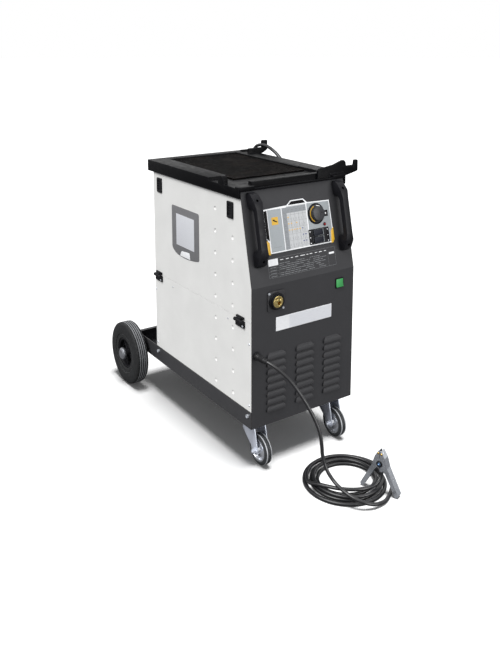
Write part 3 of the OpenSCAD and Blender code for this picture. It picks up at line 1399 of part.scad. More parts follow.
module fan_rotor() {
    color("#303236") machine() translate([fan_x, fan_y - 17.5, fan_z]) difference() {
        union() {
            rod_y(0, 12, 24);
            intersection() {
                for (a = [0:360 / 7:359]) rotate([0, a, 0]) translate([20, 6, 0]) rotate([35, 0, 0])
                    translate([0, -1, -13]) cube([fan_d, 2, 26]);
                rod_y(-2, 16, fan_r);
            }
        }
        rod_y(-1, 14, shaft_r + run);
    }
}

// Least free space between a wound cable's own turns, and the cables' lengths.
function path_len(p) = let (d = [for (i = [1:len(p) - 1]) norm(p[i] - p[i - 1])]) d * [for (x = d) 1];
echo(earth_coil_gap = own_gap(earth_path, earth_d), mains_coil_gap = own_gap(mains_path, mains_d));
echo(earth_length = [path_len(earth_run_points), path_len(earth_path), path_len(earth_tail_points)]);
echo(mains_length = [path_len(mains_run_points), path_len(mains_path)]);

chassis_tray();
front_panel();
lower_side_panel();
right_side_panel();
rear_panel();
divider_panel();
side_door();
top_tray();
top_mat();
control_plate();
selector_knob();
front_bezels();
upper_selector();
lower_selector();
power_rocker();
indicator_lamp();
handles();
torch_socket();
cable_glands();
fasteners();
latch_front();
latch_rear();
body_hinges();
door_hinges();
rear_axle();
tyre_left();
hub_left();
tyre_right();
hub_right();
castor_plates();
fork_left();
fork_right();
castor_tyre_left();
castor_rim_left();
castor_tyre_right();
castor_rim_right();
earth_cord_run();
earth_coil();
earth_cord_tail();
clamp_fixed_arm();
clamp_moving_arm();
clamp_pivot();
mains_cord();
mains_coil();
mains_plug();
spool_hub();
wire_spool();
wound_wire();
feed_motor();
drive_roll();
pressure_arm();
pressure_roll();
tension_lever();
transformer_core();
transformer_windings();
rectifier();
circuit_board();
gas_valve();
fan_frame();
fan_rotor();
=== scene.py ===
"""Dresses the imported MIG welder: cables, paint, plastics, plates, markings, wheels and studio."""
import math

import bmesh
import bpy
from bpy.props import FloatProperty, FloatVectorProperty, IntProperty, PointerProperty
from bpy.types import Operator, Panel, PropertyGroup
from mathutils import Matrix, Vector

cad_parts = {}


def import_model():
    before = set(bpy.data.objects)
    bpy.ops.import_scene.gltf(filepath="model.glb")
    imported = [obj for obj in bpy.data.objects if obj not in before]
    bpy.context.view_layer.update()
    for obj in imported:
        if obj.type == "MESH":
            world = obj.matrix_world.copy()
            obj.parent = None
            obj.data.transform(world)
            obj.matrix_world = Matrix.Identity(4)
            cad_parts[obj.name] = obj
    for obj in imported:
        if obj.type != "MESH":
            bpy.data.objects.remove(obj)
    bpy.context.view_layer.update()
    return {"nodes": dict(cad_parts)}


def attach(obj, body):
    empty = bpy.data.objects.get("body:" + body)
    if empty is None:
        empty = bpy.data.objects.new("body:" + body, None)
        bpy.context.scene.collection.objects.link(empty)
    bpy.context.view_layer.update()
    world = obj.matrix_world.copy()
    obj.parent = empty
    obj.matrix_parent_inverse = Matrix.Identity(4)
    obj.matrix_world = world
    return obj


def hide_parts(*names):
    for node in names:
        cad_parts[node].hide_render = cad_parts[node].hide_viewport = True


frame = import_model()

bl_info = {
    "name": "MIG Welder Dressing",
    "version": (1, 0, 0),
    "blender": (4, 5, 0),
    "location": "View3D > Sidebar > Welder",
    "description": "Cables, finishes and fine detail for the welder on its cart",
    "category": "Object",
}

MM = 0.001
WELD = 2e-6           # points of a mesh closer than this, in metres, are one
ROW_Y = 422.5         # the row frame's origin lies this far behind the front panel
HALF_W = 195.0
BODY_D = 604.0
KNEE_Z = 567.0
LEAN = math.radians(12.2)
PRINT_SHIFT = 5.1     # from the knee up the sloping panel to the origin of its print
CAMERA_AT = (-1.368, -2.1325, 1.290)
CAMERA_TURN = (90 - 9.44, 0.0, -34.31)        # degrees
CAMERA_SHIFT = -0.2538
FLOOR_RADIUS = 40.0
SOCKET = (-110.0, 0.0, 518.0)
LUG = (56.53, -289.32)                        # where the tail of the earth cable enters the clamp
CLAMP = (55.5, -286.5, 0)
CLAMP_TURN = math.radians(-70)
CLAMP_PIVOT_Z = 88
CLAMP_CONTACT_Z = 118
REAR_WHEEL = (232.0, 756.0, 115.0, 48.0)      # x, y, radius and width
CASTOR_WHEEL = (146.5, 22.0, 48.0, 26.0)


def paint(red, green, blue):
    """Linear colour of an sRGB triple given in 0 to 255."""
    def linear(value):
        value /= 255.0
        return value / 12.92 if value <= 0.04045 else ((value + 0.055) / 1.055) ** 2.4
    return (linear(red), linear(green), linear(blue), 1.0)


def colour_property(name, description, rgb):
    return FloatVectorProperty(name=name, description=description, subtype="COLOR", size=4,
                               min=0.0, max=1.0, default=paint(*rgb))


def length_property(name, description, millimetres):
    return FloatProperty(name=name, description=description, subtype="DISTANCE", unit="LENGTH",
                         min=0.0, default=millimetres * MM)


# ---------------------------------------------------------------- settings

class StudioSettings(PropertyGroup):
    """Camera, lamps and floor."""
    lens: FloatProperty(name="Lens", description="Focal length of the camera", subtype="DISTANCE_CAMERA",
                        default=41.76)
    fill: FloatProperty(name="Fill", description="Strength of the even light from all round", default=0.18)
    key: FloatProperty(name="Key", description="Strength of the broad lamp above on the left", default=3.3)
    front: FloatProperty(name="Front", description="Strength of the weak lamp at the front", default=2.35)
    top: FloatProperty(name="Top", description="Strength of the soft lamp overhead", default=0.9)
    floor_light: FloatProperty(name="Floor light", description="Strength of the lamp for the floor alone",
                               default=4.1)
    shadow_softness: FloatProperty(name="Shadow softness", description="Spread of the floor lamp, degrees",
                                   default=26)
    floor_lift: FloatProperty(name="Floor lift", description="Whitening of the floor as the camera sees it",
                              default=0.035)
    floor_paint: colour_property("Floor", "Colour of the studio floor", (250, 250, 250))
    floor_shade: colour_property("Floor in reflections", "Colour that the floor casts back on the machine",
                                 (118, 118, 120))


class CabinetSettings(PropertyGroup):
    """Sheet-metal paints."""
    white_paint: colour_property("White panels", "Powder coat of side panels and door", (229, 229, 227))
    front_paint: colour_property("Front panel", "Powder coat of the front panel", (59, 59, 61))
    chassis_paint: colour_property("Chassis", "Powder coat of the chassis and the rear panel", (51, 51, 53))
    # worn edge colour: laid a little on every edge as a painted highlight, and more in noisy patches as
    # wear
    edge_wear_and_highlight: colour_property("Worn edge", "Colour where paint is rubbed on an edge", (128, 122, 116))
    grain: length_property("Paint grain", "Size of the orange-peel waves in the powder coat", 1.6)


class PlasticSettings(PropertyGroup):
    """Moulded plastic, rubber and the tray."""
    plastic: colour_property("Plastic", "Colour of the handles, tray, hinges and latches", (19, 19, 22))
    mat: colour_property("Mat", "Colour of the rubber mat on the tray", (7, 6, 6))
    tray_round: length_property("Tray rounding", "Radius of the tray's moulded edges", 1.6)
    tyre: colour_property("Tyre", "Colour of the tyres", (28, 29, 30))
    grain: length_property("Plastic grain", "Size of the spark-eroded grain of the moulds", 0.7)


class PlateSettings(PropertyGroup):
    """Control plate, name plate and badge plate."""
    silver: colour_property("Control plate", "Silver ground of the control plate", (136, 141, 144))
    chart: colour_property("Chart", "Pale ground of the settings chart", (186, 188, 190))
    accent: colour_property("Accent", "Yellow accents of the control plate", (216, 168, 20))
    badge: colour_property("Badge", "Ground of the plate on the door", (112, 112, 114))
    name_width: length_property("Name plate width", "Width of the bare plate on the front", 213.5)
    name_height: length_property("Name plate height", "Height of the bare plate on the front", 43.0)


class CableSettings(PropertyGroup):
    """Jackets of the two cables."""
    earth_diameter: length_property("Earth cable", "Outer diameter of the earth cable", 10.5)
    mains_diameter: length_property("Mains cable", "Outer diameter of the mains cable", 12.0)
    jacket: colour_property("Jacket", "Colour of the rubber jackets", (27, 27, 29))
    sides: IntProperty(name="Sides", description="Sides of a jacket's mesh", min=8, max=32, default=16)


class WelderSettings(PropertyGroup):
    """Everything that the panel in the sidebar shows."""
    studio: PointerProperty(type=StudioSettings, name="Studio", description="Camera, lamps and floor")
    cabinet: PointerProperty(type=CabinetSettings, name="Cabinet", description="Sheet-metal paints")
    plastics: PointerProperty(type=PlasticSettings, name="Plastics", description="Mouldings and rubber")
    plates: PointerProperty(type=PlateSettings, name="Plates", description="Plates and their print")
    cables: PointerProperty(type=CableSettings, name="Cables", description="Cable jackets")


# ---------------------------------------------------------------- places

def place(x, y, z):
    """A point of the machine, in millimetres from the front panel, as metres in the row frame."""
    return Vector((x, y - ROW_Y, z)) * MM


def local_frame(origin, across, up):
    """Matrix from millimetres on a face (across, up, out) to metres in the row frame."""
    across, up = Vector(across).normalized(), Vector(up).normalized()
    out = across.cross(up)
    matrix = Matrix.Identity(4)
    for column, axis in enumerate((across, up, out)):
        for row in range(3):
            matrix[row][column] = axis[row] * MM
    for row, value in enumerate(place(*origin)):
        matrix[row][3] = value
    return matrix


FRONT = local_frame((0, 0, 0), (1, 0, 0), (0, 0, 1))
PRINT = local_frame((0, PRINT_SHIFT * math.sin(LEAN), KNEE_Z + PRINT_SHIFT * math.cos(LEAN)), (1, 0, 0),
                    (0, math.sin(LEAN), math.cos(LEAN)))
LEFT = local_frame((-HALF_W, 0, 0), (0, -1, 0), (0, 0, 1))


def shifted(matrix, x=0.0, y=0.0, z=0.0):
    return matrix @ Matrix.Translation((x, y, z))


# ---------------------------------------------------------------- mesh building

def box_outline(x0, y0, x1, y1):
    return [(x0, y0), (x1, y0), (x1, y1), (x0, y1)]


def round_outline(x0, y0, x1, y1, radius, steps=5):
    """Rectangle with round corners, anticlockwise."""
    corners = [(x1 - radius, y0 + radius, -90), (x1 - radius, y1 - radius, 0),
               (x0 + radius, y1 - radius, 90), (x0 + radius, y0 + radius, 180)]
    points = []
    for cx, cy, start in corners:
        for step in range(steps + 1):
            angle = math.radians(start + 90 * step / steps)
            points.append((cx + radius * math.cos(angle), cy + radius * math.sin(angle)))
    return points


def inset(points, distance):
    """Moves every side of an anticlockwise outline inwards by the distance."""
    count = len(points)
    result = []
    for i in range(count):
        before, here, after = (Vector(points[(i + k) % count]) for k in (-1, 0, 1))
        d0, d1 = (here - before).normalized(), (after - here).normalized()
        n0, n1 = Vector((-d0.y, d0.x)), Vector((-d1.y, d1.x))
        middle = n0 + n1
        scale = distance / max(0.2, middle.dot(n0))
        result.append(tuple(here + middle * scale))
    return result


def add_slab(bm, outline, low, high, matrix, slot=0, round_edge=0.0):
    """Plate with the given outline between two heights, its top edge rounded if asked."""
    rings = []
    levels = [(low, 0.0)]
    if round_edge > 0:
        for step in range(4):
            angle = math.radians(30 * step)
            levels.append((high - round_edge * (1 - math.sin(angle)), round_edge * (1 - math.cos(angle))))
    else:
        levels.append((high, 0.0))
    for height, back in levels:
        points = inset(outline, back) if back > 1e-6 else outline
        rings.append([bm.verts.new(matrix @ Vector((x, y, height))) for x, y in points])
    count = len(outline)
    faces = [bm.faces.new(list(reversed(rings[0]))), bm.faces.new(rings[-1])]
    for lower, upper in zip(rings, rings[1:]):
        for i in range(count):
            j = (i + 1) % count
            faces.append(bm.faces.new((lower[i], lower[j], upper[j], upper[i])))
    for face in faces:
        face.material_index = slot
    return faces


def add_band(bm, outer, inner, low, high, matrix, slot=0):
    """Flat band between two outlines of the same number of points."""
    count = len(outer)
    rings = [[bm.verts.new(matrix @ Vector((x, y, h))) for x, y in points]
             for points, h in ((outer, low), (outer, high), (inner, high), (inner, low))]
    for a, b in zip(rings, rings[1:] + rings[:1]):
        for i in range(count):
            j = (i + 1) % count
            bm.faces.new((a[i], a[j], b[j], b[i])).material_index = slot


def add_arc(bm, cx, cy, inner, outer, start, end, low, high, matrix, slot=0, steps=24):
    """Flat arc-shaped strip, angles in degrees."""
    angles = [math.radians(start + (end - start) * i / steps) for i in range(steps + 1)]
    points = [(cx + outer * math.cos(a), cy + outer * math.sin(a)) for a in angles]
    points += [(cx + inner * math.cos(a), cy + inner * math.sin(a)) for a in reversed(angles)]
    add_slab(bm, points, low, high, matrix, slot)


def add_turned(bm, profile, matrix, segments=48, slot=0):
    """Turned body: profile of (radius, height) round the third axis, with one slot or one a stretch."""
    slots = [slot] * len(profile) if isinstance(slot, int) else slot
    rings = []
    for radius, height in profile:
        if radius < 1e-6:
            rings.append([bm.verts.new(matrix @ Vector((0, 0, height)))])
            continue
        rings.append([bm.verts.new(matrix @ Vector((radius * math.cos(2 * math.pi * i / segments),
                                                    radius * math.sin(2 * math.pi * i / segments), height)))
                      for i in range(segments)])
    for lower, upper, stretch in zip(rings, rings[1:], slots):
        for i in range(segments):
            j = (i + 1) % segments
            if len(lower) == 1 and len(upper) == 1:
                continue
            if len(lower) == 1:
                face = bm.faces.new((lower[0], upper[j], upper[i]))
            elif len(upper) == 1:
                face = bm.faces.new((lower[i], lower[j], upper[0]))
            else:
                face = bm.faces.new((lower[i], lower[j], upper[j], upper[i]))
            face.material_index = stretch


def add_tube(bm, path, radius, sides, slot=0):
    """Round tube along points given in metres, with flat ends and one radius or one for each point."""
    count = len(path)
    radii = [radius] * count if isinstance(radius, float) else radius
    tangents = [(path[min(i + 1, count - 1)] - path[max(i - 1, 0)]).normalized() for i in range(count)]
    normal = Vector((1, 0, 0)) if abs(tangents[0].z) > 0.7 else Vector((0, 0, 1))
    rings = []
    for point, tangent, reach in zip(path, tangents, radii):
        normal = (normal - tangent * normal.dot(tangent)).normalized()
        side = tangent.cross(normal)
        rings.append([bm.verts.new(point + reach * (math.cos(2 * math.pi * k / sides) * normal
                                                    + math.sin(2 * math.pi * k / sides) * side))
                      for k in range(sides)])
    for lower, upper in zip(rings, rings[1:]):
        for k in range(sides):
            m = (k + 1) % sides
            bm.faces.new((lower[k], lower[m], upper[m], upper[k])).material_index = slot
    for ring in (list(reversed(rings[0])), rings[-1]):
        bm.faces.new(ring).material_index = slot


def piece(name, bm, materials, body, angle=35.0):
    """Turns a bmesh into an object that rides on a body of the frame."""
    bmesh.ops.recalc_face_normals(bm, faces=bm.faces)
    mesh = bpy.data.meshes.new(name)
    bm.to_mesh(mesh)
    bm.free()
    for material in materials:
        mesh.materials.append(material)
    mesh.shade_smooth()
    mesh.set_sharp_from_angle(angle=math.radians(angle))
    obj = bpy.data.objects.new(name, mesh)
    bpy.context.scene.collection.objects.link(obj)
    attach(obj, body)
    return obj


def node_mesh(node):
    """A node's mesh to work on, with its doubled points joined."""
    bm = bmesh.new()
    bm.from_mesh(frame["nodes"][node].data)
    for face in bm.faces:
        face.material_index = 0
    bmesh.ops.remove_doubles(bm, verts=bm.verts, dist=WELD)
    return bm


def rounded_copy(node, width, materials, body, segments=2, extra=None):
    """A node's shape again with its sharp edges rounded, in place of the node."""
    bm = node_mesh(node)
    bmesh.ops.dissolve_limit(bm, angle_limit=math.radians(1.0), verts=bm.verts, edges=bm.edges)
    sharp = math.radians(40.0)
    edges = [edge for edge in bm.edges if len(edge.link_faces) == 2 and edge.calc_face_angle(0.0) > sharp]
    bmesh.ops.bevel(bm, geom=edges, offset=width * MM, offset_type="OFFSET", segments=segments, profile=0.5,
                    affect="EDGES", clamp_overlap=True)
    if extra:
        extra(bm)
    obj = piece(node + "_dressed", bm, materials, body)
    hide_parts(node)
    return obj


def ridged_copy(node, axis, pitch, depth, materials, body):
    """A node's shape again with wound turns pitch millimetres apart along an axis, in place of the node."""
    bm = node_mesh(node)
    along = Vector([1.0 if k == axis else 0.0 for k in range(3)])
    low, high = min(v.co[axis] for v in bm.verts), max(v.co[axis] for v in bm.verts)
    half = pitch * MM / 2
    count = int((high - low) / half)
    for i in range(1, count):
        bmesh.ops.bisect_plane(bm, geom=bm.verts[:] + bm.edges[:] + bm.faces[:], dist=1e-7,
                               plane_co=along * (low + i * half), plane_no=along)
    bm.normal_update()
    for vert in bm.verts:
        step = (vert.co[axis] - low) / half
        if abs(step - round(step)) < 1e-3 and round(step) % 2 == 1 and vert.is_manifold:
            sideways = vert.normal - along * vert.normal.dot(along)
            if sideways.length > 0.5:
                vert.co -= sideways.normalized() * depth * MM
    obj = piece(node + "_dressed", bm, materials, body, 80.0)
    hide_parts(node)
    return obj


def smooth_path(points, steps):
    """Points of one smooth curve through the given ones."""
    result = []
    last = len(points) - 1
    for i in range(last):
        a, b, c, d = (Vector(points[max(i - 1, 0)]), Vector(points[i]), Vector(points[i + 1]),
                      Vector(points[min(i + 2, last)]))
        for k in range(steps):
            t = k / steps
            result.append(b + (c - a) * t / 2 + (2 * a - 5 * b + 4 * c - d) * t * t / 2
                          + (3 * b - a - 3 * c + d) * t ** 3 / 2)
    result.append(Vector(points[last]))
    return result


# ---------------------------------------------------------------- finishes

class Nodes:
    """Node tree, built up step by step."""

    def __init__(self, tree):
        self.tree = tree
        self.nodes, self.links = tree.nodes, tree.links

    def feed(self, socket, value):
        """Links a socket to an input, or sets the input to a value."""
        if isinstance(value, bpy.types.NodeSocket):
            self.links.new(value, socket)
        else:
            socket.default_value = value

    def node(self, kind, inputs, **options):
        """New node with its options and with its inputs fed by name or number."""
        node = self.nodes.new(kind)
        for option, value in options.items():
            setattr(node, option, value)
        for key, value in inputs.items():
            self.feed(node.inputs[key], value)
        return node

    def maximum(self, first, second):
        return self.node("ShaderNodeMath", {0: first, 1: second}, operation="MAXIMUM").outputs[0]

    def blend(self, factor, first, second):
        return self.node("ShaderNodeMixShader", {"Fac": factor, 1: first, 2: second}).outputs[0]


class Finish(Nodes):
    """Material made of one principled shader."""

    def __init__(self, name):
        self.material = bpy.data.materials.new(name)
        self.material.use_nodes = True
        super().__init__(self.material.node_tree)
        self.shader = self.nodes["Principled BSDF"]
        self.coords = self.nodes.new("ShaderNodeTexCoord").outputs["Object"]
        self.normal = None

    def socket(self, name):
        return self.shader.inputs[name]

    def scaled(self, scale):
        """Object coordinates stretched along each axis."""
        return self.node("ShaderNodeMapping", {"Vector": self.coords, "Scale": scale}).outputs["Vector"]

    def noise(self, size, detail=3.0, rough=0.55, stretch=(1, 1, 1)):
        """Noise whose waves are about size millimetres long."""
        return self.node("ShaderNodeTexNoise", {
            "Vector": self.scaled(Vector(stretch) / (size * MM)), "Scale": 1.0, "Detail": detail,
            "Roughness": rough}).outputs["Fac"]

    def bands(self, pitch, axis="X", distortion=0.0):
        """Parallel bands pitch millimetres apart."""
        scale = math.tau / (20.0 * pitch * MM)
        return self.node("ShaderNodeTexWave", {
            "Vector": self.scaled((scale, scale, scale)), "Scale": 1.0, "Distortion": distortion},
            wave_type="BANDS", bands_direction=axis, wave_profile="SIN").outputs["Fac"]

    def ramp(self, value, low, high, out_low=0.0, out_high=1.0):
        return self.node("ShaderNodeMapRange", {
            "Value": value, "From Min": low, "From Max": high, "To Min": out_low,
            "To Max": out_high}).outputs["Result"]

    def mix(self, factor, first, second):
        """Colour mix; either colour may be a socket or a value."""
        return self.node("ShaderNodeMix", {0: factor, 6: first, 7: second}, data_type="RGBA").outputs[2]

    def multiply(self, first, second):
        return self.node("ShaderNodeMath", {0: first, 1: second}, operation="MULTIPLY",
                         use_clamp=True).outputs[0]

    def bump(self, height, depth):
        """Adds relief of the given depth in millimetres."""
        inputs = {"Strength": 1.0, "Distance": depth * MM, "Height": height}
        if self.normal is not None:
            inputs["Normal"] = self.normal
        self.normal = self.node("ShaderNodeBump", inputs).outputs["Normal"]

    def soft_edges(self, radius):
        """Rounds the shading of sharp edges and gives a mask that is 1 along them."""
        self.normal = self.node("ShaderNodeBevel", {"Radius": radius * MM}, samples=4).outputs["Normal"]
        flat = self.nodes.new("ShaderNodeNewGeometry").outputs["True Normal"]
        dot = self.node("ShaderNodeVectorMath", {0: self.normal, 1: flat}, operation="DOT_PRODUCT")
        return self.ramp(dot.outputs["Value"], 0.97, 0.80)

    def painted_crevice_shade(self, reach):
        """Mask that is 1 in grooves and corners, for painted shade there."""
        node = self.node("ShaderNodeAmbientOcclusion", {"Distance": reach * MM}, samples=8)
        return self.ramp(node.outputs["AO"], 0.92, 0.45)

    def close(self, colour, rough, rough_high=None, rough_from=None, shine=0.5):
        """Connects colour, roughness and relief to the shader."""
        self.feed(self.socket("Specular IOR Level"), shine)
        self.feed(self.socket("Base Color"), colour)
        if rough_from is not None:
            rough = self.ramp(rough_from, 0.3, 0.7, rough, rough_high)
        self.feed(self.socket("Roughness"), rough)
        if self.normal is not None:
            self.feed(self.socket("Normal"), self.normal)
        return self.material


def tint(colour, factor):
    return tuple(min(1.0, c * factor) for c in colour[:3]) + (1.0,)


def powder_coat(name, colour, grain, depth=0.05, rough=(0.42, 0.52), wear_and_highlight_colour=None, shine=0.5, crevice_shade_colour=None):
    """Sheet steel under powder coat: orange peel, faint cloudiness, rubbed edges with a painted highlight,
    painted shade in crevices.
    """
    f = Finish(name)
    edge = f.soft_edges(1.3)
    clouds = f.noise(90, 2.0)
    body = f.mix(f.ramp(clouds, 0.3, 0.7), tint(colour, 0.965), tint(colour, 1.02))
    speck = f.ramp(f.noise(0.9, 1.0), 0.62, 0.78)
    body = f.mix(f.multiply(speck, 0.18), body, tint(colour, 1.25))
    if wear_and_highlight_colour is not None:
        # edges are always a little lighter, a painted highlight, and more so in noisy patches where the
        # paint is worn
        worn_and_highlit_edge = f.multiply(edge, f.ramp(f.noise(14, 4.0), 0.42, 0.62, 0.15, 0.8))
        body = f.mix(worn_and_highlit_edge, body, wear_and_highlight_colour)
    # painted shade: an occlusion mask darkens grooves, corners and the panel under each louvre lip
    if crevice_shade_colour is not None:
        body = f.mix(f.multiply(f.painted_crevice_shade(11), 0.85), body, crevice_shade_colour)
    f.bump(f.noise(grain, 2.0), depth)
    return f.close(body, rough[0], rough[1], f.noise(30, 3.0), shine)


def moulded(name, colour, grain=0.7, rough=(0.4, 0.55), depth=0.03, edge_highlight=2.6, shine=0.14,
            edge_width=1.0):
    """Moulded plastic with a fine spark-eroded grain and a painted highlight along its edges."""
    f = Finish(name)
    edge = f.soft_edges(edge_width)
    body = f.mix(f.ramp(f.noise(55, 3.0), 0.3, 0.7), tint(colour, 0.9), tint(colour, 1.1))
    # painted highlight along every sharp edge
    body = f.mix(f.multiply(edge, 0.55), body, tint(colour, edge_highlight))
    f.bump(f.noise(grain, 2.0), depth)
    return f.close(body, rough[0], rough[1], f.noise(18, 3.0), shine)


def rubber(name, colour, rough=(0.55, 0.75), grain=1.2, depth=0.05, dust=None, shine=0.25, worn_and_highlit_edge=None):
    """Black rubber: matt, with chalky dust patches and, if asked, paler edges and ridges as a painted
    highlight.
    """
    f = Finish(name)
    body = f.mix(f.ramp(f.noise(35, 4.0), 0.3, 0.7), tint(colour, 0.85), tint(colour, 1.12))
    if worn_and_highlit_edge is not None:
        # painted highlight along edges and ridges, patchy by noise
        edge = f.soft_edges(0.9)
        body = f.mix(f.multiply(edge, f.ramp(f.noise(20, 3.0), 0.3, 0.6, 0.5, 1.0)), body, worn_and_highlit_edge)
    if dust is not None:
        body = f.mix(f.multiply(f.ramp(f.noise(9, 5.0), 0.5, 0.72), 0.3), body, dust)
    f.bump(f.noise(grain, 3.0), depth)
    return f.close(body, rough[0], rough[1], f.noise(12, 3.0), shine)


def plated(name, colour, rough=(0.22, 0.4), grain=6.0, spangle=0.04, metallic=1.0):
    """Zinc-plated or cast metal with crystalline patches and hairline scratches."""
    f = Finish(name)
    f.socket("Metallic").default_value = metallic
    crystals = f.node("ShaderNodeTexVoronoi",
                      {"Vector": f.scaled(Vector((1, 1, 1)) / (grain * MM)), "Scale": 1.0})
    patch = f.node("ShaderNodeSeparateColor", {"Color": crystals.outputs["Color"]}).outputs["Red"]
    body = f.mix(patch, tint(colour, 1.0 - spangle), tint(colour, 1.0 + spangle))
    body = f.mix(f.multiply(f.ramp(f.noise(28, 3.0), 0.5, 0.75), 0.15), body, tint(colour, 0.75))
    f.bump(f.noise(2.0, 3.0, stretch=(6, 1, 1)), 0.01)
    return f.close(body, rough[0], rough[1], f.noise(7, 4.0))


def brushed(name, colour, rough=(0.3, 0.42), stretch=(1, 60, 60), metallic=1.0, pitch=14.0):
    """Metal or foil brushed along one direction."""
    f = Finish(name)
    f.socket("Metallic").default_value = metallic
    lines = f.noise(pitch, 4.0, 0.65, stretch)
    body = f.mix(f.ramp(lines, 0.3, 0.7), tint(colour, 0.88), tint(colour, 1.08))
    f.bump(lines, 0.01)
    return f.close(body, rough[0], rough[1], lines)


def turned_metal(name, colour, rough=(0.2, 0.38), pitch=0.5, axis="Y"):
    """Machined metal with fine turning rings."""
    f = Finish(name)
    f.socket("Metallic").default_value = 1.0
    body = f.mix(f.ramp(f.noise(5, 4.0), 0.3, 0.7), tint(colour, 0.82), tint(colour, 1.06))
    f.bump(f.bands(pitch, axis), 0.015)
    f.bump(f.noise(1.5, 2.0), 0.01)
    return f.close(body, rough[0], rough[1], f.noise(4, 3.0))


def printed(name, colour, rough=(0.35, 0.45), mottle=0.03, shine=0.5):
    """Screen-printed ink or laminated foil with a fine tooth."""
    f = Finish(name)
    body = f.mix(f.ramp(f.noise(8, 4.0), 0.3, 0.7), tint(colour, 1.0 - mottle), tint(colour, 1.0 + mottle))
    f.bump(f.noise(0.5, 2.0), 0.008)
    return f.close(body, rough[0], rough[1], f.noise(10, 3.0), shine)


def ribbed_mat(name, colour):
    """Rubber mat with fine ribs between its moulded grooves."""
    f = Finish(name)
    ribs = f.bands(2.0, "Y")
    # crests of the ribs lighter, grooves darker: painted shade
    body = f.mix(ribs, tint(colour, 0.8), tint(colour, 1.15))
    body = f.mix(f.multiply(f.ramp(f.noise(70, 4.0), 0.45, 0.75), 0.25), body, paint(50, 43, 38))
    f.bump(ribs, 0.3)
    f.bump(f.noise(1.0, 3.0), 0.05)
    return f.close(body, 0.6, 0.8, f.noise(15, 3.0), 0.03)


def laminated(name, colour, pitch=1.2, axis="X"):
    """Stack of electrical steel laminations with varnish runs."""
    f = Finish(name)
    f.socket("Metallic").default_value = 0.6
    sheets = f.bands(pitch, axis)
    body = f.mix(sheets, tint(colour, 0.6), tint(colour, 1.1))
    body = f.mix(f.multiply(f.ramp(f.noise(25, 4.0), 0.55, 0.7), 0.5), body, paint(96, 58, 34))
    f.bump(sheets, 0.1)
    return f.close(body, 0.4, 0.65, f.noise(9, 3.0))


def enamelled_wire(name, colour):
    """Wound copper wire, whose turns are in the mesh, with uneven enamel."""
    f = Finish(name)
    f.socket("Metallic").default_value = 1.0
    body = f.mix(f.ramp(f.noise(3.0, 3.0), 0.3, 0.7), tint(colour, 0.72), tint(colour, 1.12))
    body = f.mix(f.multiply(f.ramp(f.noise(16, 4.0), 0.5, 0.7), 0.35), body, tint(colour, 0.5))
    f.bump(f.noise(0.8, 2.0), 0.02)
    return f.close(body, 0.25, 0.4, f.noise(6, 3.0))


def solder_mask(name, colour):
    """Circuit board with tracks under its lacquer."""
    f = Finish(name)
    tracks = f.ramp(f.bands(3.0, "Z", distortion=3.0), 0.55, 0.6)
    body = f.mix(tracks, colour, tint(colour, 1.6))
    body = f.mix(f.ramp(f.noise(2.2, 0.0), 0.68, 0.7), body, paint(190, 188, 176))
    f.bump(tracks, 0.05)
    f.socket("Coat Weight").default_value = 0.4
    return f.close(body, 0.3, 0.4, f.noise(5, 2.0))


FINISHES = {}


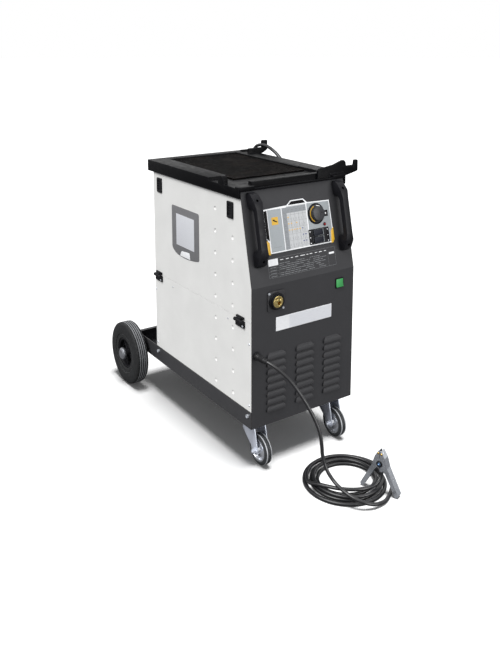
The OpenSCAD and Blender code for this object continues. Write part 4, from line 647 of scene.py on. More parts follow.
def make_finishes(settings):
    """One material for each finish of the machine."""
    cabinet, plastics, plates = settings.cabinet, settings.plastics, settings.plates
    grain = cabinet.grain / MM
    mould = plastics.grain / MM
    wear_and_highlight_colour = tuple(cabinet.edge_wear_and_highlight)
    black = tuple(plastics.plastic)
    FINISHES.update({
        "white": powder_coat("white_powder_coat", tuple(cabinet.white_paint), grain, 0.04, (0.38, 0.48)),
        # the front's last colour darkens its crevices: painted shade under the louvre lips and in grooves
        "front": powder_coat("front_powder_coat", tuple(cabinet.front_paint), grain, 0.05, (0.4, 0.5),
                             wear_and_highlight_colour, 0.12, paint(26, 27, 32)),
        "chassis": powder_coat("chassis_powder_coat", tuple(cabinet.chassis_paint), grain, 0.05, (0.4, 0.5),
                               wear_and_highlight_colour),
        "plastic": moulded("black_moulded_plastic", black, mould),
        "handle": moulded("handle_plastic", tint(black, 1.3), mould, (0.34, 0.48)),
        # the tray's edges carry a strong painted highlight, eleven times its colour
        "tray": moulded("tray_plastic", tint(black, 0.34), mould, (0.36, 0.5), 0.03, 11.0, 0.06, 1.8),
        # paler fronts of the selector rockers: painted sheen
        "rocker_face_sheen": moulded("rocker_face_painted_sheen", paint(40, 42, 49), 0.6, (0.22, 0.32), 0.01),
        "knob": moulded("knob_plastic", paint(42, 43, 46), 0.6, (0.3, 0.42), 0.02, shine=0.3),
        "gloss": moulded("switch_plastic", paint(16, 16, 19), 0.6, (0.22, 0.32), 0.01),
        "green": moulded("green_rocker_plastic", paint(69, 155, 89), 0.6, (0.25, 0.35), 0.01, 1.2),
        "lamp": moulded("red_lamp_lens", paint(146, 25, 30), 0.6, (0.12, 0.2), 0.005, 1.3),
        "mat": ribbed_mat("ribbed_rubber_mat", tuple(plastics.mat)),
        # the tyres' paler edges and ridges are a painted highlight
        "tyre": rubber("tyre_rubber", tuple(plastics.tyre), dust=paint(64, 64, 64),
                       worn_and_highlit_edge=paint(130, 131, 133)),
        "castor_tyre": rubber("castor_rubber", paint(46, 48, 50), dust=paint(74, 75, 76),
                              worn_and_highlit_edge=paint(150, 152, 155)),
        # pale crowns of the tread ribs: painted highlight
        "rear_rib_highlight": rubber("rear_tyre_rib_highlight", paint(134, 136, 139), (0.4, 0.55), shine=0.5),
        "castor_rib_highlight": rubber("castor_tyre_rib_highlight", paint(176, 178, 182), (0.35, 0.5), shine=0.5),
        "jacket": rubber("cable_jacket", tuple(settings.cables.jacket), (0.28, 0.4), 0.9, 0.02, shine=0.5),
        "boot": rubber("strain_relief_rubber", paint(26, 26, 28), (0.4, 0.5)),
        "silver": brushed("control_plate_silver", tuple(plates.silver), (0.38, 0.48), metallic=0.35),
        "white_print": printed("white_print", paint(236, 237, 239)),
        "chart_print": printed("chart_print", tuple(plates.chart)),
        "header_print": printed("header_print", paint(131, 135, 139)),
        "grey_print": printed("grey_print", paint(114, 116, 119)),
        "black_print": printed("black_print", paint(12, 12, 14), shine=0.06),
        "accent_print": printed("accent_print", tuple(plates.accent)),
        "blue_print": printed("blue_print", paint(45, 54, 116)),
        "badge": printed("badge_ground", tuple(plates.badge), (0.35, 0.5), 0.06),
        "plate_foil": brushed("name_plate_foil", paint(230, 232, 237), (0.3, 0.4), metallic=0.2),
        "zinc": plated("zinc_plate", paint(200, 204, 210), metallic=0.5),
        "axle_zinc": plated("axle_cap_zinc", paint(142, 144, 149), (0.2, 0.34), 12.0, 0.03, metallic=0.7),
        "rim_zinc": plated("castor_rim_zinc", paint(206, 209, 215), (0.16, 0.28), 9.0, 0.05, metallic=0.7),
        "castor_zinc": plated("castor_zinc", paint(196, 201, 212), (0.3, 0.42), 9.0, 0.02, metallic=0.35),
        "clamp_zinc": plated("clamp_zinc", paint(192, 196, 202), (0.16, 0.28), 9.0, 0.02, metallic=0.8),
        "blued": plated("blued_steel", paint(120, 146, 178), (0.12, 0.24), 3.0, metallic=0.9),
        "steel": brushed("brushed_steel", paint(176, 178, 182)),
        "brass": turned_metal("turned_brass", paint(212, 190, 124)),
        "contact": turned_metal("contact_brass", paint(216, 178, 96)),
        "galvanised": plated("galvanised_sheet", paint(168, 172, 176), (0.3, 0.5), 9.0, 0.16),
        "aluminium": brushed("aluminium_extrusion", paint(186, 188, 192), stretch=(60, 60, 1)),
        "copper": enamelled_wire("enamelled_copper", paint(172, 92, 52)),
        "welding_wire": enamelled_wire("welding_wire", paint(190, 116, 70)),
        "core": laminated("core_laminations", paint(86, 88, 92)),
        "board": solder_mask("circuit_board_green", paint(38, 92, 58)),
        "spool": moulded("spool_plastic", paint(36, 36, 40), 0.8),
        "fan": moulded("fan_plastic", paint(40, 42, 46), 0.8),
    })


NODE_FINISHES = {
    "chassis": ("chassis_tray", "rear_panel"),
    "front": ("front_panel",),
    "white": ("lower_side_panel", "right_side_panel", "side_door"),
    "galvanised": ("divider_panel",),
    "tray": ("top_tray",),
    "plastic": ("front_bezels", "handles", "cable_glands", "latch_front", "latch_rear",
                "body_hinges", "door_hinges", "selector_knob", "hub_left", "hub_right", "mains_plug",
                "spool_hub", "pressure_arm", "tension_lever"),
    "gloss": ("upper_selector", "lower_selector"),
    "green": ("power_rocker",),
    "lamp": ("indicator_lamp",),
    "mat": ("top_mat",),
    "silver": ("control_plate",),
    "brass": ("torch_socket", "gas_valve"),
    "zinc": ("fasteners",),
    "axle_zinc": ("rear_axle",),
    "rim_zinc": ("castor_rim_left", "castor_rim_right"),
    "castor_zinc": ("castor_plates", "fork_left", "fork_right"),
    "clamp_zinc": ("clamp_fixed_arm", "clamp_moving_arm", "clamp_pivot"),
    "steel": ("drive_roll", "pressure_roll"),
    "aluminium": ("feed_motor", "rectifier"),
    "tyre": ("tyre_left", "tyre_right"),
    "castor_tyre": ("castor_tyre_left", "castor_tyre_right"),
    "jacket": ("earth_cord_run", "earth_coil", "earth_cord_tail", "mains_cord", "mains_coil"),
    "spool": ("wire_spool",),
    "fan": ("fan_frame", "fan_rotor"),
    "welding_wire": ("wound_wire",),
    "copper": ("transformer_windings",),
    "core": ("transformer_core",),
    "board": ("circuit_board",),
}


# ---------------------------------------------------------------- operators

class WELDER_OT_studio(Operator):
    """Camera, lamps, world and floor"""
    bl_idname = "welder.studio"
    bl_label = "Studio"

    def execute(self, context):
        settings = context.scene.welder.studio
        scene = context.scene
        scene.view_settings.view_transform = "Standard"
        self.add_camera(scene, settings)
        self.add_world(scene, settings)
        floor = self.add_floor(settings)
        self.add_lamps(scene, settings, floor)
        return {"FINISHED"}

    def add_camera(self, scene, settings):
        data = bpy.data.cameras.new("camera")
        data.sensor_width = 36.0
        data.lens = settings.lens
        data.shift_y = CAMERA_SHIFT
        data.clip_end = 200.0
        camera = bpy.data.objects.new("camera", data)
        camera.location = CAMERA_AT
        camera.rotation_euler = [math.radians(angle) for angle in CAMERA_TURN]
        scene.collection.objects.link(camera)
        scene.camera = camera

    def add_world(self, scene, settings):
        world = scene.world or bpy.data.worlds.new("studio")
        scene.world = world
        world.use_nodes = True
        tree = Nodes(world.node_tree)
        tree.nodes.clear()
        seen = tree.node("ShaderNodeBackground", {"Color": (1, 1, 1, 1), "Strength": 1.0}).outputs[0]
        light = tree.node("ShaderNodeBackground", {
            "Color": (0.97, 0.985, 1.0, 1), "Strength": settings.fill}).outputs[0]
        rays = tree.nodes.new("ShaderNodeLightPath").outputs
        seen_rays = tree.maximum(rays["Is Camera Ray"], rays["Is Glossy Ray"])
        seen_rays = tree.maximum(seen_rays, rays["Is Transmission Ray"])
        tree.node("ShaderNodeOutputWorld", {"Surface": tree.blend(seen_rays, light, seen)})

    def add_lamps(self, scene, settings, floor):
        """Lamps for the machine that spare the floor, and one that lights the floor alone."""
        spared = bpy.data.collections.new("floor_spared")
        spared.objects.link(floor)
        spared.collection_objects[0].light_linking.link_state = "EXCLUDE"
        alone = bpy.data.collections.new("floor_alone")
        alone.objects.link(floor)
        for name, strength, spread, turn, receivers in (
                ("key_lamp", settings.key, 40, (44, 0, -84), spared),
                ("front_lamp", settings.front, 40, (80, 0, 14), spared),
                ("top_lamp", settings.top, 60, (6, 0, 30), spared),
                ("floor_lamp", settings.floor_light, settings.shadow_softness, (6.8, 0, 14), alone)):
            data = bpy.data.lights.new(name, "SUN")
            data.energy = strength
            data.angle = math.radians(spread)
            lamp = bpy.data.objects.new(name, data)
            lamp.rotation_euler = [math.radians(angle) for angle in turn]
            scene.collection.objects.link(lamp)
            lamp.light_linking.receiver_collection = receivers

    def add_floor(self, settings):
        bm = bmesh.new()
        bmesh.ops.create_circle(bm, cap_ends=True, segments=96, radius=FLOOR_RADIUS)
        mesh = bpy.data.meshes.new("studio_floor")
        bm.to_mesh(mesh)
        bm.free()
        floor = bpy.data.objects.new("studio_floor", mesh)
        bpy.context.scene.collection.objects.link(floor)
        finish = Finish("floor_paper")
        paper = tuple(settings.floor_paint)
        paper = finish.mix(finish.noise(400, 2.0), paper, tint(paper, 0.99))
        finish.close(paper, 0.9, shine=0.0)
        lift = finish.node("ShaderNodeEmission", {
            "Color": (1, 1, 1, 1), "Strength": settings.floor_lift}).outputs[0]
        both = finish.node("ShaderNodeAddShader", {0: finish.shader.outputs[0], 1: lift}).outputs[0]
        shade = finish.node("ShaderNodeBsdfDiffuse", {"Color": tuple(settings.floor_shade)}).outputs[0]
        camera_rays = finish.nodes.new("ShaderNodeLightPath").outputs["Is Camera Ray"]
        finish.feed(finish.nodes["Material Output"].inputs["Surface"],
                    finish.blend(camera_rays, shade, both))
        mesh.materials.append(finish.material)
        return floor


EARTH_RUN = [
    (-179, -24, 363), (-179, -34, 363), (-178, -45, 362.5), (-169, -67, 356), (-155, -90, 341),
    (-139, -113, 318), (-124, -134, 288), (-110, -154, 254), (-98, -172, 218), (-90, -187, 180),
    (-88, -195, 142), (-88, -198, 117), (-85, -204, 92), (-81, -216, 68), (-76, -235, 50), (-74, -256, 42),
    (-72, -279, 38), (-63, -306, 31), (-45, -328, 23), (-18, -340, 14), (14, -340.3, 9), (37, -333, 6.5)]
EARTH_TAIL = [
    (-105, -170, 19.5), (-101, -187, 24.5), (-95, -203, 28), (-85, -222, 29.5), (-71, -243, 30),
    (-52, -262, 30), (-33, -276, 30), (-13, -285, 29.5), (8, -289, 28.3)]
MAINS_RUN = [
    (115, 36, 330), (115, 46, 330), (115, 60, 328), (115, 74, 322.5), (115, 85, 314), (115, 94, 302.5),
    (115, 99, 289), (115, 101, 275), (117, 101, 262), (122, 100, 250), (129, 99, 240),
    (139.5, 97.5, 232), (151, 96, 227), (164, 94, 225.5), (177, 92, 227), (188.5, 90.5, 232),
    (199, 89, 240), (206, 88, 250), (211, 87, 262), (213, 86, 276), (213, 85, 300), (213, 82, 340),
    (213, 76, 400), (213, 67, 480), (213, 55, 560), (213, 41, 640), (213, 28, 710), (214, 13, 775),
    (214, -1, 830), (215, -17, 863), (216, -35, 881), (216, -52, 887.5), (216, -68, 890),
    (216, -86, 890.5), (216, -109, 888), (217, -134, 880), (220, -158, 867), (224, -182, 846),
    (229, -202, 815), (232, -218, 770), (234, -230, 712), (235, -238, 640), (235, -243, 560),
    (235, -246, 480), (235, -247, 400), (235, -246, 320), (235, -241, 240), (235, -230, 165),
    (235, -219, 110), (235, -213, 76), (236, -212, 56), (242, -212, 37.5), (252, -212, 24.5),
    (265, -212, 14.6), (280, -212, 8.4), (291, -212, 6.5)]


FLOOR_GAP = 0.05      # under a cable that lies on the floor
LAYER_GAP = 0.7       # between the layers of a coil
TAIL_BEND = 32        # radius in which the earth cable turns up into the clamp


def coil_points(centre, radius, step, inward, outward, start, low, rise, head, tail):
    """Coil in two layers: it winds in, climbs over half a turn and winds out on top."""
    total = inward + 0.5 + outward
    count = round(total * 24)
    points = []
    for i in range(count + 1):
        turn = i * total / count
        climb = min(max((turn - inward) / 0.5, 0.0), 1.0)
        reach = radius - step * min(turn, inward) + step * max(turn - inward - 0.5, 0.0)
        angle = math.radians(start) + math.tau * turn
        points.append((centre[0] + reach * math.cos(angle), centre[1] + reach * math.sin(angle),
                       low + rise * climb * climb * (3 - 2 * climb)))
    first, last = math.radians(start), math.radians(start) + math.tau * total
    begin = (points[0][0] + head * math.sin(first), points[0][1] - head * math.cos(first), points[0][2])
    end = (points[-1][0] - tail * math.sin(last), points[-1][1] + tail * math.cos(last), points[-1][2])
    return [begin] + points + [end]


def before(path):
    """A point a little ahead of a path, on its line."""
    first, second = Vector(path[0]), Vector(path[1])
    return tuple(first - (second - first).normalized() * 6.0)


def beyond(path):
    return before(path[::-1])


class WELDER_OT_cables(Operator):
    """Earth cable with its coil, and mains cable with its stored coil"""
    bl_idname = "welder.cables"
    bl_label = "Cables"

    def execute(self, context):
        settings = context.scene.welder.cables
        earth_d, mains_d = settings.earth_diameter / MM, settings.mains_diameter / MM
        earth_coil = coil_points((4, -198), 133.4, 20, 2.5, 19 / 12, 300, earth_d / 2 + FLOOR_GAP,
                                 earth_d + LAYER_GAP, earth_d, earth_d)
        mains_coil = coil_points((320, BODY_D - 134), 77.4, mains_d + 3, 1, 1, 270, mains_d / 2 + FLOOR_GAP,
                                 mains_d + LAYER_GAP, mains_d, 44)
        rise = []
        for step in range(7):
            angle = math.radians(15 * step)
            rise.append((LUG[0] - TAIL_BEND * (1 - math.sin(angle)), LUG[1],
                         28 + TAIL_BEND * (1 - math.cos(angle))))
        earth_run = (EARTH_RUN + [before(earth_coil)] + earth_coil + [beyond(earth_coil)] + EARTH_TAIL
                     + rise + [(LUG[0], LUG[1], 70)])
        self.lay("earth_cable", earth_run, earth_d, settings.sides,
                 ("earth_cord_run", "earth_coil", "earth_cord_tail"), EARTH_RUN[1], "tool",
                 [frame["nodes"][n] for n in ("clamp_fixed_arm", "clamp_moving_arm", "clamp_pivot")])
        mains_run = [(x, y + BODY_D, z) for x, y, z in MAINS_RUN]
        self.lay("mains_cable", mains_run + [before(mains_coil)] + mains_coil, mains_d, settings.sides,
                 ("mains_cord", "mains_coil"), (115, 640, 330), "plug", [frame["nodes"]["mains_plug"]])
        return {"FINISHED"}

    def lay(self, name, points, diameter, sides, nodes, exit_at, far_end, carried):
        path = [place(*p) for p in smooth_path(points, 3)]
        bm = bmesh.new()
        add_tube(bm, path, diameter / 2 * MM, sides)
        cable = piece(name, bm, [FINISHES["jacket"]], "body")
        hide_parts(*nodes)


class WELDER_OT_finishes(Operator):
    """Materials of every part that keeps its own shape"""
    bl_idname = "welder.finishes"
    bl_label = "Finishes"

    def execute(self, context):
        for finish, nodes in NODE_FINISHES.items():
            for name in nodes:
                node = frame["nodes"][name]
                if not node.material_slots:
                    node.data.materials.append(None)
                for slot in node.material_slots:
                    slot.material = FINISHES[finish]
        missed = set(frame["nodes"]) - {n for nodes in NODE_FINISHES.values() for n in nodes}
        if missed:
            raise RuntimeError(f"no finish for {sorted(missed)}")
        return {"FINISHED"}


class WELDER_OT_plates(Operator):
    """Bare name plate on the front and bare badge plate on the door"""
    bl_idname = "welder.plates"
    bl_label = "Plates"

    def execute(self, context):
        settings = context.scene.welder.plates
        self.name_plate(settings)
        self.badge_plate()
        return {"FINISHED"}

    def name_plate(self, settings):
        width, height = settings.name_width / MM, settings.name_height / MM
        left, low, border = -108.0, 422.0, 1.2
        right, high = left + width, low + height
        split = left + width * 0.232        # the white field ends here
        bm = bmesh.new()
        add_slab(bm, round_outline(left, low, right, high, border), 0.02, 0.9, FRONT, 0, 0.35)
        add_slab(bm, box_outline(left + border, low + border, split, high - border), 0.8, 1.0, FRONT, 1)
        add_slab(bm, box_outline(split, low + border, right - border, high - border), 0.8, 0.98, FRONT, 2)
        piece("name_plate", bm, [FINISHES["white_print"], FINISHES["white_print"], FINISHES["plate_foil"]],
              "body")

    def badge_plate(self):
        # Across runs to the front of the machine, so across = -y.
        outline = [(-466, 731), (-470.5, 729.5), (-472, 725), (-472, 590), (-470, 584.5), (-464, 578.5),
                   (-449, 571), (-434, 567), (-414, 564.6), (-394, 563.4), (-374, 563.6), (-354, 565.2),
                   (-334, 567.6), (-314, 570.8), (-301, 573.6), (-297, 576.5), (-295, 581), (-295, 725),
                   (-296.5, 729.5), (-301, 731)]
        bm = bmesh.new()
        add_slab(bm, outline, 0.02, 1.2, LEFT, 0, 0.5)
        add_slab(bm, round_outline(-442, 600.5, -325, 706.5, 1.0), 1.1, 1.45, LEFT, 1, 0.15)
        tab = [(-419, 566.5), (-352, 567.5), (-354.5, 584), (-357, 588), (-361, 588.6), (-405, 584.6),
               (-409, 582.5)]
        add_slab(bm, tab, 1.1, 1.5, LEFT, 2, 0.15)
        piece("badge_plate", bm, [FINISHES["badge"], FINISHES["plate_foil"], FINISHES["white_print"]],
              "door")


DIAL = (69.6, 180.5)      # centre of the selector knob on the print


class WELDER_OT_control_face(Operator):
    """Print of the control plate: columns, settings chart, accents and switch marks"""
    bl_idname = "welder.control_face"
    bl_label = "Control face"

    def execute(self, context):
        bm = bmesh.new()
        top = 1.8
        row_pitch, column_pitch = 19.2, 14.9
        mark_x, mark_pitch = -37.5, 9.9
        white, silver, chart, header, grey, black, accent, blue = range(8)

        def shape(points, slot, level=0.1, foot=0.0):
            add_slab(bm, points, top + foot, top + level, PRINT, slot)

        def patch(x0, y0, x1, y1, slot, level=1):
            shape(box_outline(x0, y0, x1, y1), slot, 0.1 * level)

        outline = [(-116, 85), (117.5, 85), (128, 97), (128, 131), (126, 217), (40, 220), (26, 233),
                   (-22, 233), (-38, 220), (-128, 217), (-128, 131), (-118, 125), (-128, 119)]
        shape(inset(outline, 0.4), white, 0.06, -0.2)
        patch(-110.5, 88.5, -61, 213.5, silver)
        shape([(-58, 88.5), (32.5, 88.5), (32.5, 216.5), (-40, 216.5), (-42, 213.8), (-58, 213.6)], chart)
        shape([(36, 88.5), (116, 88.5), (124.6, 98.5), (124.6, 131), (122.8, 213.8), (38, 216.6),
               (36, 214)], silver)
        # dark strip at the left and the dark cap in the tab
        shape([(-113, 123), (-113, 212.4), (-123.6, 212), (-123.6, 131)], black, 0.12)
        shape([(-33, 219.5), (33, 219.5), (24.5, 229.5), (-20.5, 229.5)], black, 0.12)
        # chart: heading row, heading column, ruled rows and marks
        patch(-58, 190, -42, 213, header, 2)
        patch(-42, 196, 32.5, 214, header, 2)
        patch(-58, 88.5, -42, 190, header, 2)
        for column in range(5):
            x = -38 + column * column_pitch
            patch(x, 199, x + 5, 201, grey, 3)
            patch(x, 204, x + 7, 206, grey, 3)
            x = -42 + column * column_pitch
            patch(x - 0.2, 89, x + 0.2, 213, grey, 3)
        for row in range(6):
            level = 94 + row * row_pitch
            patch(-58, level - 0.25, 32, level + 0.25, grey, 3)
            patch(-54, level + 6, -46, level + 7.6, grey, 3)
            patch(-54, level + 10, -48, level + 11.4, grey, 3)
        for row, marks, slot in ((4, (0,), accent), (3, (0, 1, 3), accent), (2, (0, 1, 2, 3, 4), accent),
                                 (2, (5,), blue), (1, (5, 6), blue), (0, (5, 6), blue)):
            for mark in marks:
                x = mark_x + mark * mark_pitch
                y = 106.5 + row * row_pitch
                patch(x - 2.2, y - 1.6, x + 2.2, y + 1.6, slot, 4)
        for row in range(5):
            for mark in range(7):
                x = mark_x + mark * mark_pitch
                for line in range(3):
                    y = 97.3 + row * row_pitch + line * 2.4
                    patch(x - 1.2, y, x + 1.2, y + 0.9, grey, 3)
        # plain yellow field with a dark nozzle stroke
        shape(round_outline(-99, 167.5, -75.5, 190.5, 1.5), accent, 0.2)
        shape([(-95, 183.5), (-94, 180), (-80, 174), (-79, 176.5), (-87, 181), (-88, 183.5)], black, 0.3)
        patch(-103, 101, -72, 102, grey, 2)
        # accents on both sides
        left = [(-127, 92), (-124.5, 84), (-114.8, 81.8), (-114.8, 118.5), (-125.5, 126.8), (-127, 124)]
        right = [(116.5, 83.5), (124, 84), (129.8, 92.5), (129.8, 131), (126, 128), (119.5, 121.5)]
        for points in (left, right):
            add_slab(bm, points, 0.02, 2.1, PRINT, accent, 0.2)
        # dial surround, window and switch marks
        add_arc(bm, *DIAL, 27, 32.6, 0, 359.9, top, top + 0.16, PRINT, black, 48)
        patch(97, 168, 115, 187, black, 2)
        patch(104.5, 174.5, 108.5, 180.5, white, 3)
        add_arc(bm, 98, 144.6, 4.4, 5.8, 0, 359.9, top, top + 0.2, PRINT, black, 24)
        slots = ("white_print", "silver", "chart_print", "header_print", "grey_print", "black_print",
                 "accent_print", "blue_print")
        piece("control_print", bm, [FINISHES[s] for s in slots], "body")
        self.selector_marks()
        self.data_field()
        return {"FINISHED"}

    def selector_marks(self):
        """White marks beside the two selector rockers."""
        bm = bmesh.new()
        top = 3.3
        for x, y, w, h in ((36.8, 128.5, 3.4, 3.4), (104.8, 128.5, 3.4, 3.4), (36.8, 110.5, 2.2, 3.8),
                           (104.8, 110.5, 3.4, 1.4), (36.8, 93.5, 3.4, 2.8), (104.8, 93.5, 3.4, 2.8)):
            add_slab(bm, box_outline(x - w / 2, y - h / 2, x + w / 2, y + h / 2), top, top + 0.1, PRINT)
        piece("selector_marks", bm, [FINISHES["white_print"]], "body")

    def data_field(self):
        """Ruled field of short plain strokes below the control plate."""
        bm = bmesh.new()
        low, high = 0.02, 0.14
        white, grey = 0, 1

        def patch(x0, y0, x1, y1, slot=grey):
            add_slab(bm, box_outline(x0, y0, x1, y1), low, high, PRINT, slot)

        add_band(bm, round_outline(-128.5, 14.5, 127, 71, 2), round_outline(-128, 15, 126.5, 70.5, 1.6),
                 low, high, PRINT, grey)
        add_slab(bm, round_outline(-127, 50, -92, 69.5, 1.5), low, high, PRINT, white)
        for y in (24, 33, 41.5):
            patch(-127, y, -92, y + 0.4)
        for x in (-90, 60, 98):
            patch(x, 15, x + 0.4, 55)
        draw = 7
        for row in range(7):
            y = 18.5 + row * 5.6
            x = -87.0
            while x < 122:
                draw = (draw * 1103515245 + 12345) % 2147483648
                run = 4 + draw % 19
                draw = (draw * 1103515245 + 12345) % 2147483648
                if draw % 5 and x + run <= 96:
                    patch(x, y, x + run, y + 1.5)
                x += run + 2.2
        for row in range(4):
            patch(-122, 18 + row * 8.6, -100, 19.4 + row * 8.6)
        for x, width in ((-84, 12), (-62, 10), (-44, 8), (-28, 12), (-8, 18), (16, 7), (28, 10), (48, 9),
                         (64, 12), (84, 8)):
            patch(x, 62.5, x + width, 64.3, white)
        add_slab(bm, round_outline(102, 50, 123, 56, 2.5), low, high, PRINT, white)
        piece("data_field", bm, [FINISHES["white_print"], FINISHES["grey_print"]], "body")


class WELDER_OT_switchgear(Operator):
    """Bezels, knob with its scale, rockers, and the torch socket with its ring"""
    bl_idname = "welder.switchgear"
    bl_label = "Switchgear"

    def execute(self, context):
        socket = place(*SOCKET)
        out = PRINT.col[2].xyz.normalized()

        def paint_flange(bm):
            """The square flange round the socket wears the paint of the front."""
            inner, outer, depth = 25.5 * MM, 60.0 * MM, 4.5 * MM
            for face in bm.faces:
                away = [vert.co - socket for vert in face.verts]
                if all(inner < math.hypot(a.x, a.z) < outer and abs(a.y) < depth for a in away):
                    face.material_index = 1

        def sheen_rocker_faces(bm):
            """The front of a rocker is a little paler than its sides: a painted sheen on the faces that
            look out.
            """
            bm.normal_update()
            for face in bm.faces:
                if face.normal.dot(out) > 0.85:
                    face.material_index = 1

        rounded_copy("front_bezels", 0.8, [FINISHES["plastic"], FINISHES["front"]], "body",
                     extra=paint_flange)
        rounded_copy("selector_knob", 0.9, [FINISHES["knob"]], "knob")
        rounded_copy("torch_socket", 0.7, [FINISHES["brass"]], "body")
        rounded_copy("power_rocker", 0.9, [FINISHES["green"]], "power_rocker")
        for rocker in ("upper_selector", "lower_selector"):
            rounded_copy(rocker, 0.8, [FINISHES["gloss"], FINISHES["rocker_face_sheen"]], rocker,
                         extra=sheen_rocker_faces)
        self.socket_ring()
        bm = bmesh.new()
        add_arc(bm, *DIAL, 23.4, 26.3, 112, 244, 5.5, 5.8, PRINT, 0)
        # the short white arc from 40 to 88 degrees is a painted highlight on the knob's base
        add_arc(bm, *DIAL, 23.6, 26.2, 40, 88, 5.5, 5.8, PRINT, 1)
        piece("knob_scale", bm, [FINISHES["accent_print"], FINISHES["white_print"]], "knob")
        return {"FINISHED"}

    def socket_ring(self):
        """Insulating ring that covers the rim of the brass socket."""
        bm = bmesh.new()
        section = [(21.1, 9.3), (22.6, 9.3), (22.6, 14.3), (22.0, 14.9), (18.4, 14.9), (17.9, 14.4),
                   (17.9, 14.1), (19.2, 14.1), (19.2, 12.2), (21.1, 12.2), (21.1, 9.3)]
        add_turned(bm, section, shifted(FRONT, SOCKET[0], SOCKET[2]), 64)
        bmesh.ops.remove_doubles(bm, verts=bm.verts, dist=WELD / 2)
        piece("socket_ring", bm, [FINISHES["plastic"]], "body")


class WELDER_OT_tray(Operator):
    """Moulded top tray with rounded edges"""
    bl_idname = "welder.tray"
    bl_label = "Top tray"

    def execute(self, context):
        settings = context.scene.welder.plastics
        rounded_copy("top_tray", settings.tray_round / MM, [FINISHES["tray"]], "body", 3)
        return {"FINISHED"}


class WELDER_OT_fittings(Operator):
    """Latches, hinges, handles, strain-relief boots and small screws"""
    bl_idname = "welder.fittings"
    bl_label = "Fittings"

    def execute(self, context):
        plastic = [FINISHES["plastic"]]
        for name, width, body in (("latch_front", 0.7, "latch_front"), ("latch_rear", 0.7, "latch_rear"),
                                  ("body_hinges", 0.8, "body"), ("door_hinges", 0.8, "door")):
            rounded_copy(name, width, plastic, body)
        rounded_copy("handles", 2.4, [FINISHES["handle"]], "body", 3)
        rounded_copy("cable_glands", 0.7, [FINISHES["boot"]], "body")
        self.boot()
        self.screws()
        return {"FINISHED"}

    def boot(self):
        """Ribbed boot where the earth cable leaves the front panel."""
        route = smooth_path([(-179, -9, 363)] + EARTH_RUN[:4], 12)
        length, root, taper, rib_pitch, rib_width, rib = 44, 10.4, 0.055, 6.0, 3.2, 0.7
        path, radii = [], []
        run = 0.0
        for last, point in zip(route, route[1:]):
            run += (point - last).length
            if run > length:
                break
            path.append(place(*point))
            radii.append((root - taper * run + (rib if run % rib_pitch < rib_width else -rib)) * MM)
        bm = bmesh.new()
        add_tube(bm, path, radii, 28)
        piece("earth_boot", bm, [FINISHES["boot"]], "body", 50.0)

    def screws(self):
        """Small slotted screws on both sides of the seam under the door."""
        bm = bmesh.new()
        for y in (127.5, 474.8):
            add_turned(bm, [(3.0, 0.02), (2.9, 0.6), (2.0, 1.2), (0, 1.4)], shifted(LEFT, -y, 441), 20)
            # the black bar on the head stands for the shaded slot: painted shade
            add_slab(bm, box_outline(-1.6, -0.25, 1.6, 0.25), 1.2, 1.5, shifted(LEFT, -y, 441), 1)
        for y in (39.5, 552.5):
            head = shifted(LEFT, -y, 445)
            add_turned(bm, [(3.7, 6.3), (3.6, 7.0), (2.6, 7.8), (0, 8.1)], head, 24)
            # the black bar on the head stands for the shaded slot: painted shade
            add_slab(bm, box_outline(-2.2, -0.35, 2.2, 0.35), 7.9, 8.2, head, 1)
        piece("seam_screws", bm, [FINISHES["zinc"], FINISHES["black_print"]], "body")


class WELDER_OT_clamp(Operator):
    """Brass contacts and the pivot nut of the earth clamp"""
    bl_idname = "welder.clamp"
    bl_label = "Earth clamp"

    def execute(self, context):
        across = Vector((math.cos(CLAMP_TURN), math.sin(CLAMP_TURN), 0))
        for side, body, half in ((1, "body", 10.5), (-1, "clamp_arm", 8.5)):
            bm = bmesh.new()
            for face in (1, -1):
                cheek = local_frame(CLAMP, face * across, (0, 0, 1))
                add_turned(bm, [(3.1, half - 0.2), (3.1, half + 0.5), (2.2, half + 1.2), (0, half + 1.5)],
                           shifted(cheek, face * side * 5.4, CLAMP_CONTACT_Z), 24)
            piece("contact_rivets_" + body, bm, [FINISHES["contact"]], body)
        bm = bmesh.new()
        pivot = shifted(local_frame(CLAMP, across, (0, 0, 1)), 0, CLAMP_PIVOT_Z)
        nut = [(5.4 * math.cos(math.radians(60 * k + 10)), 5.4 * math.sin(math.radians(60 * k + 10)))
               for k in range(6)]
        # the black disc under the nut stands for the shade round the pivot between the arms: painted shade
        add_turned(bm, [(0, 12.2), (9.2, 12.2), (9.2, 12.9), (0, 12.9)], pivot, 40, 1)
        add_slab(bm, nut, 12.8, 15.4, pivot, 0, 0.5)
        add_turned(bm, [(2.6, 15.2), (2.6, 16.6), (1.9, 17.3), (0, 17.3)], pivot, 20)
        piece("pivot_nut", bm, [FINISHES["blued"], FINISHES["plastic"]], "body")
        return {"FINISHED"}


class WELDER_OT_windings(Operator):
    """Turns of the welding wire on its spool and of the copper windings"""
    bl_idname = "welder.windings"
    bl_label = "Windings"

    def execute(self, context):
        ridged_copy("wound_wire", 0, 2.4, 0.5, [FINISHES["welding_wire"]], "spool")
        ridged_copy("transformer_windings", 2, 2.6, 0.5, [FINISHES["copper"]], "body")
        return {"FINISHED"}


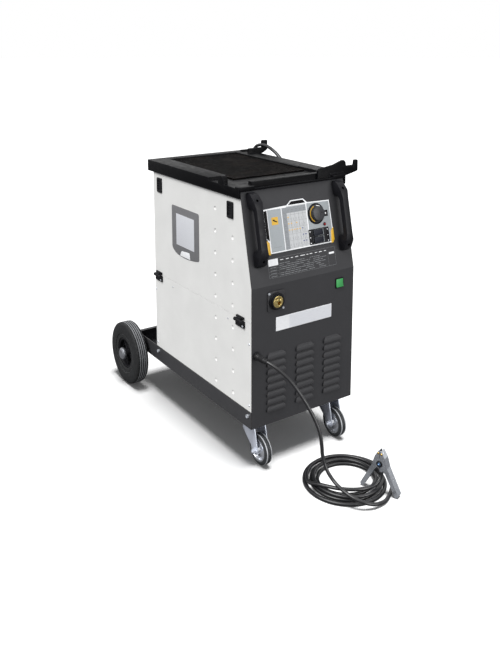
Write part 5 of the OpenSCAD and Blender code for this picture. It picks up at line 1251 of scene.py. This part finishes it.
class WELDER_OT_wheels(Operator):
    """Ribbed tyres, hubs and castor forks with rounded edges"""
    bl_idname = "welder.wheels"
    bl_label = "Wheels"

    def execute(self, context):
        for side in ("left", "right"):
            rounded_copy("hub_" + side, 0.9, [FINISHES["plastic"]], "wheel_" + side)
            rounded_copy("fork_" + side, 0.7, [FINISHES["castor_zinc"]], "castor_" + side)
            self.rear_tyre(side)
            self.castor_tyre(side)
        return {"FINISHED"}

    def tyre(self, node, side, wheel, half, ribs, finishes, body):
        """Turned tyre from the outer half of its section, given from the middle of the tread inwards."""
        x, y, radius, width = wheel
        across = 1 if side == "right" else -1
        axle = local_frame((across * x, y, radius), (0, across, 0), (0, 0, 1))
        points = [(r, -w) for r, w in reversed(half)] + half
        # faces of the listed ribs take the second finish, a painted highlight on their crowns
        slots = [1 if i in ribs else 0 for i in range(len(half))]
        slots = list(reversed(slots[:-1])) + slots[:1] + slots[:-1] + [0]
        bm = bmesh.new()
        add_turned(bm, points + points[:1], axle, 96, slots)
        bmesh.ops.remove_doubles(bm, verts=bm.verts, dist=WELD / 2)
        obj = piece(node + side + "_dressed", bm, finishes, body + side, 30.0)
        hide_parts(node + side)

    def rear_tyre(self, side):
        r, w = REAR_WHEEL[2], REAR_WHEEL[3] / 2
        half = [(r - 2.4, 1.1), (r - 0.3, 1.7), (r, 2.2), (r, 5.5), (r - 0.3, 6.0), (r - 2.4, 6.6),
                (r - 2.4, 8.6), (r - 0.3, 9.2), (r, 9.7), (r, 13.0), (r - 0.3, 13.5), (r - 2.6, 14.2),
                (r - 2.6, 16.4), (r - 0.6, 17.0), (r - 0.9, w - 5), (r - 3.2, w - 2.6), (r - 9, w - 0.8),
                (75, w), (73.5, w - 0.4), (73, w - 3), (71, w - 3), (70.5, w - 1.6), (59, w - 2.2),
                (57, w - 4)]
        self.tyre("tyre_", side, REAR_WHEEL, half, (2, 8), [FINISHES["tyre"], FINISHES["rear_rib_highlight"]],
                  "wheel_")

    def castor_tyre(self, side):
        r, w = CASTOR_WHEEL[2], CASTOR_WHEEL[3] / 2
        half = [(r, 2.2), (r - 0.3, 2.6), (r - 2, 3.0), (r - 2, 5.4), (r - 0.5, 5.8), (r - 0.5, 6.1),
                (r - 1.3, 9.2), (r - 2.0, 9.6), (r - 4.4, w - 2.4), (r - 8, w - 0.4), (r - 9, w),
                (r - 12.6, w - 0.8)]
        self.tyre("castor_tyre_", side, CASTOR_WHEEL, half, (5,),
                  [FINISHES["castor_tyre"], FINISHES["castor_rib_highlight"]], "castor_wheel_")


class WELDER_PT_sidebar(Panel):
    """Lists the steps and their settings"""
    bl_idname = "WELDER_PT_sidebar"
    bl_label = "Welder"
    bl_space_type = "VIEW_3D"
    bl_region_type = "UI"
    bl_category = "Welder"

    def draw(self, context):
        for operator in OPERATORS:
            self.layout.operator(operator.bl_idname)
        settings = context.scene.welder
        for name in ("studio", "cabinet", "plastics", "plates", "cables"):
            group = getattr(settings, name)
            box = self.layout.box()
            box.label(text=name.capitalize())
            for prop in group.bl_rna.properties:
                if prop.identifier not in {"rna_type", "name"}:
                    box.prop(group, prop.identifier)


GROUPS = (StudioSettings, CabinetSettings, PlasticSettings, PlateSettings, CableSettings, WelderSettings)
OPERATORS = (WELDER_OT_studio, WELDER_OT_cables, WELDER_OT_finishes, WELDER_OT_plates,
             WELDER_OT_control_face, WELDER_OT_switchgear, WELDER_OT_tray, WELDER_OT_fittings,
             WELDER_OT_clamp, WELDER_OT_windings, WELDER_OT_wheels)


def register():
    for cls in GROUPS + OPERATORS + (WELDER_PT_sidebar,):
        bpy.utils.register_class(cls)
    bpy.types.Scene.welder = PointerProperty(type=WelderSettings)


def unregister():
    del bpy.types.Scene.welder
    for cls in reversed(GROUPS + OPERATORS + (WELDER_PT_sidebar,)):
        bpy.utils.unregister_class(cls)


def main():
    register()
    make_finishes(bpy.context.scene.welder)
    bpy.ops.welder.studio()
    bpy.ops.welder.cables()
    bpy.ops.welder.finishes()
    bpy.ops.welder.plates()
    bpy.ops.welder.control_face()
    bpy.ops.welder.switchgear()
    bpy.ops.welder.tray()
    bpy.ops.welder.fittings()
    bpy.ops.welder.clamp()
    bpy.ops.welder.windings()
    bpy.ops.welder.wheels()


if __name__ == "__main__":
    main()
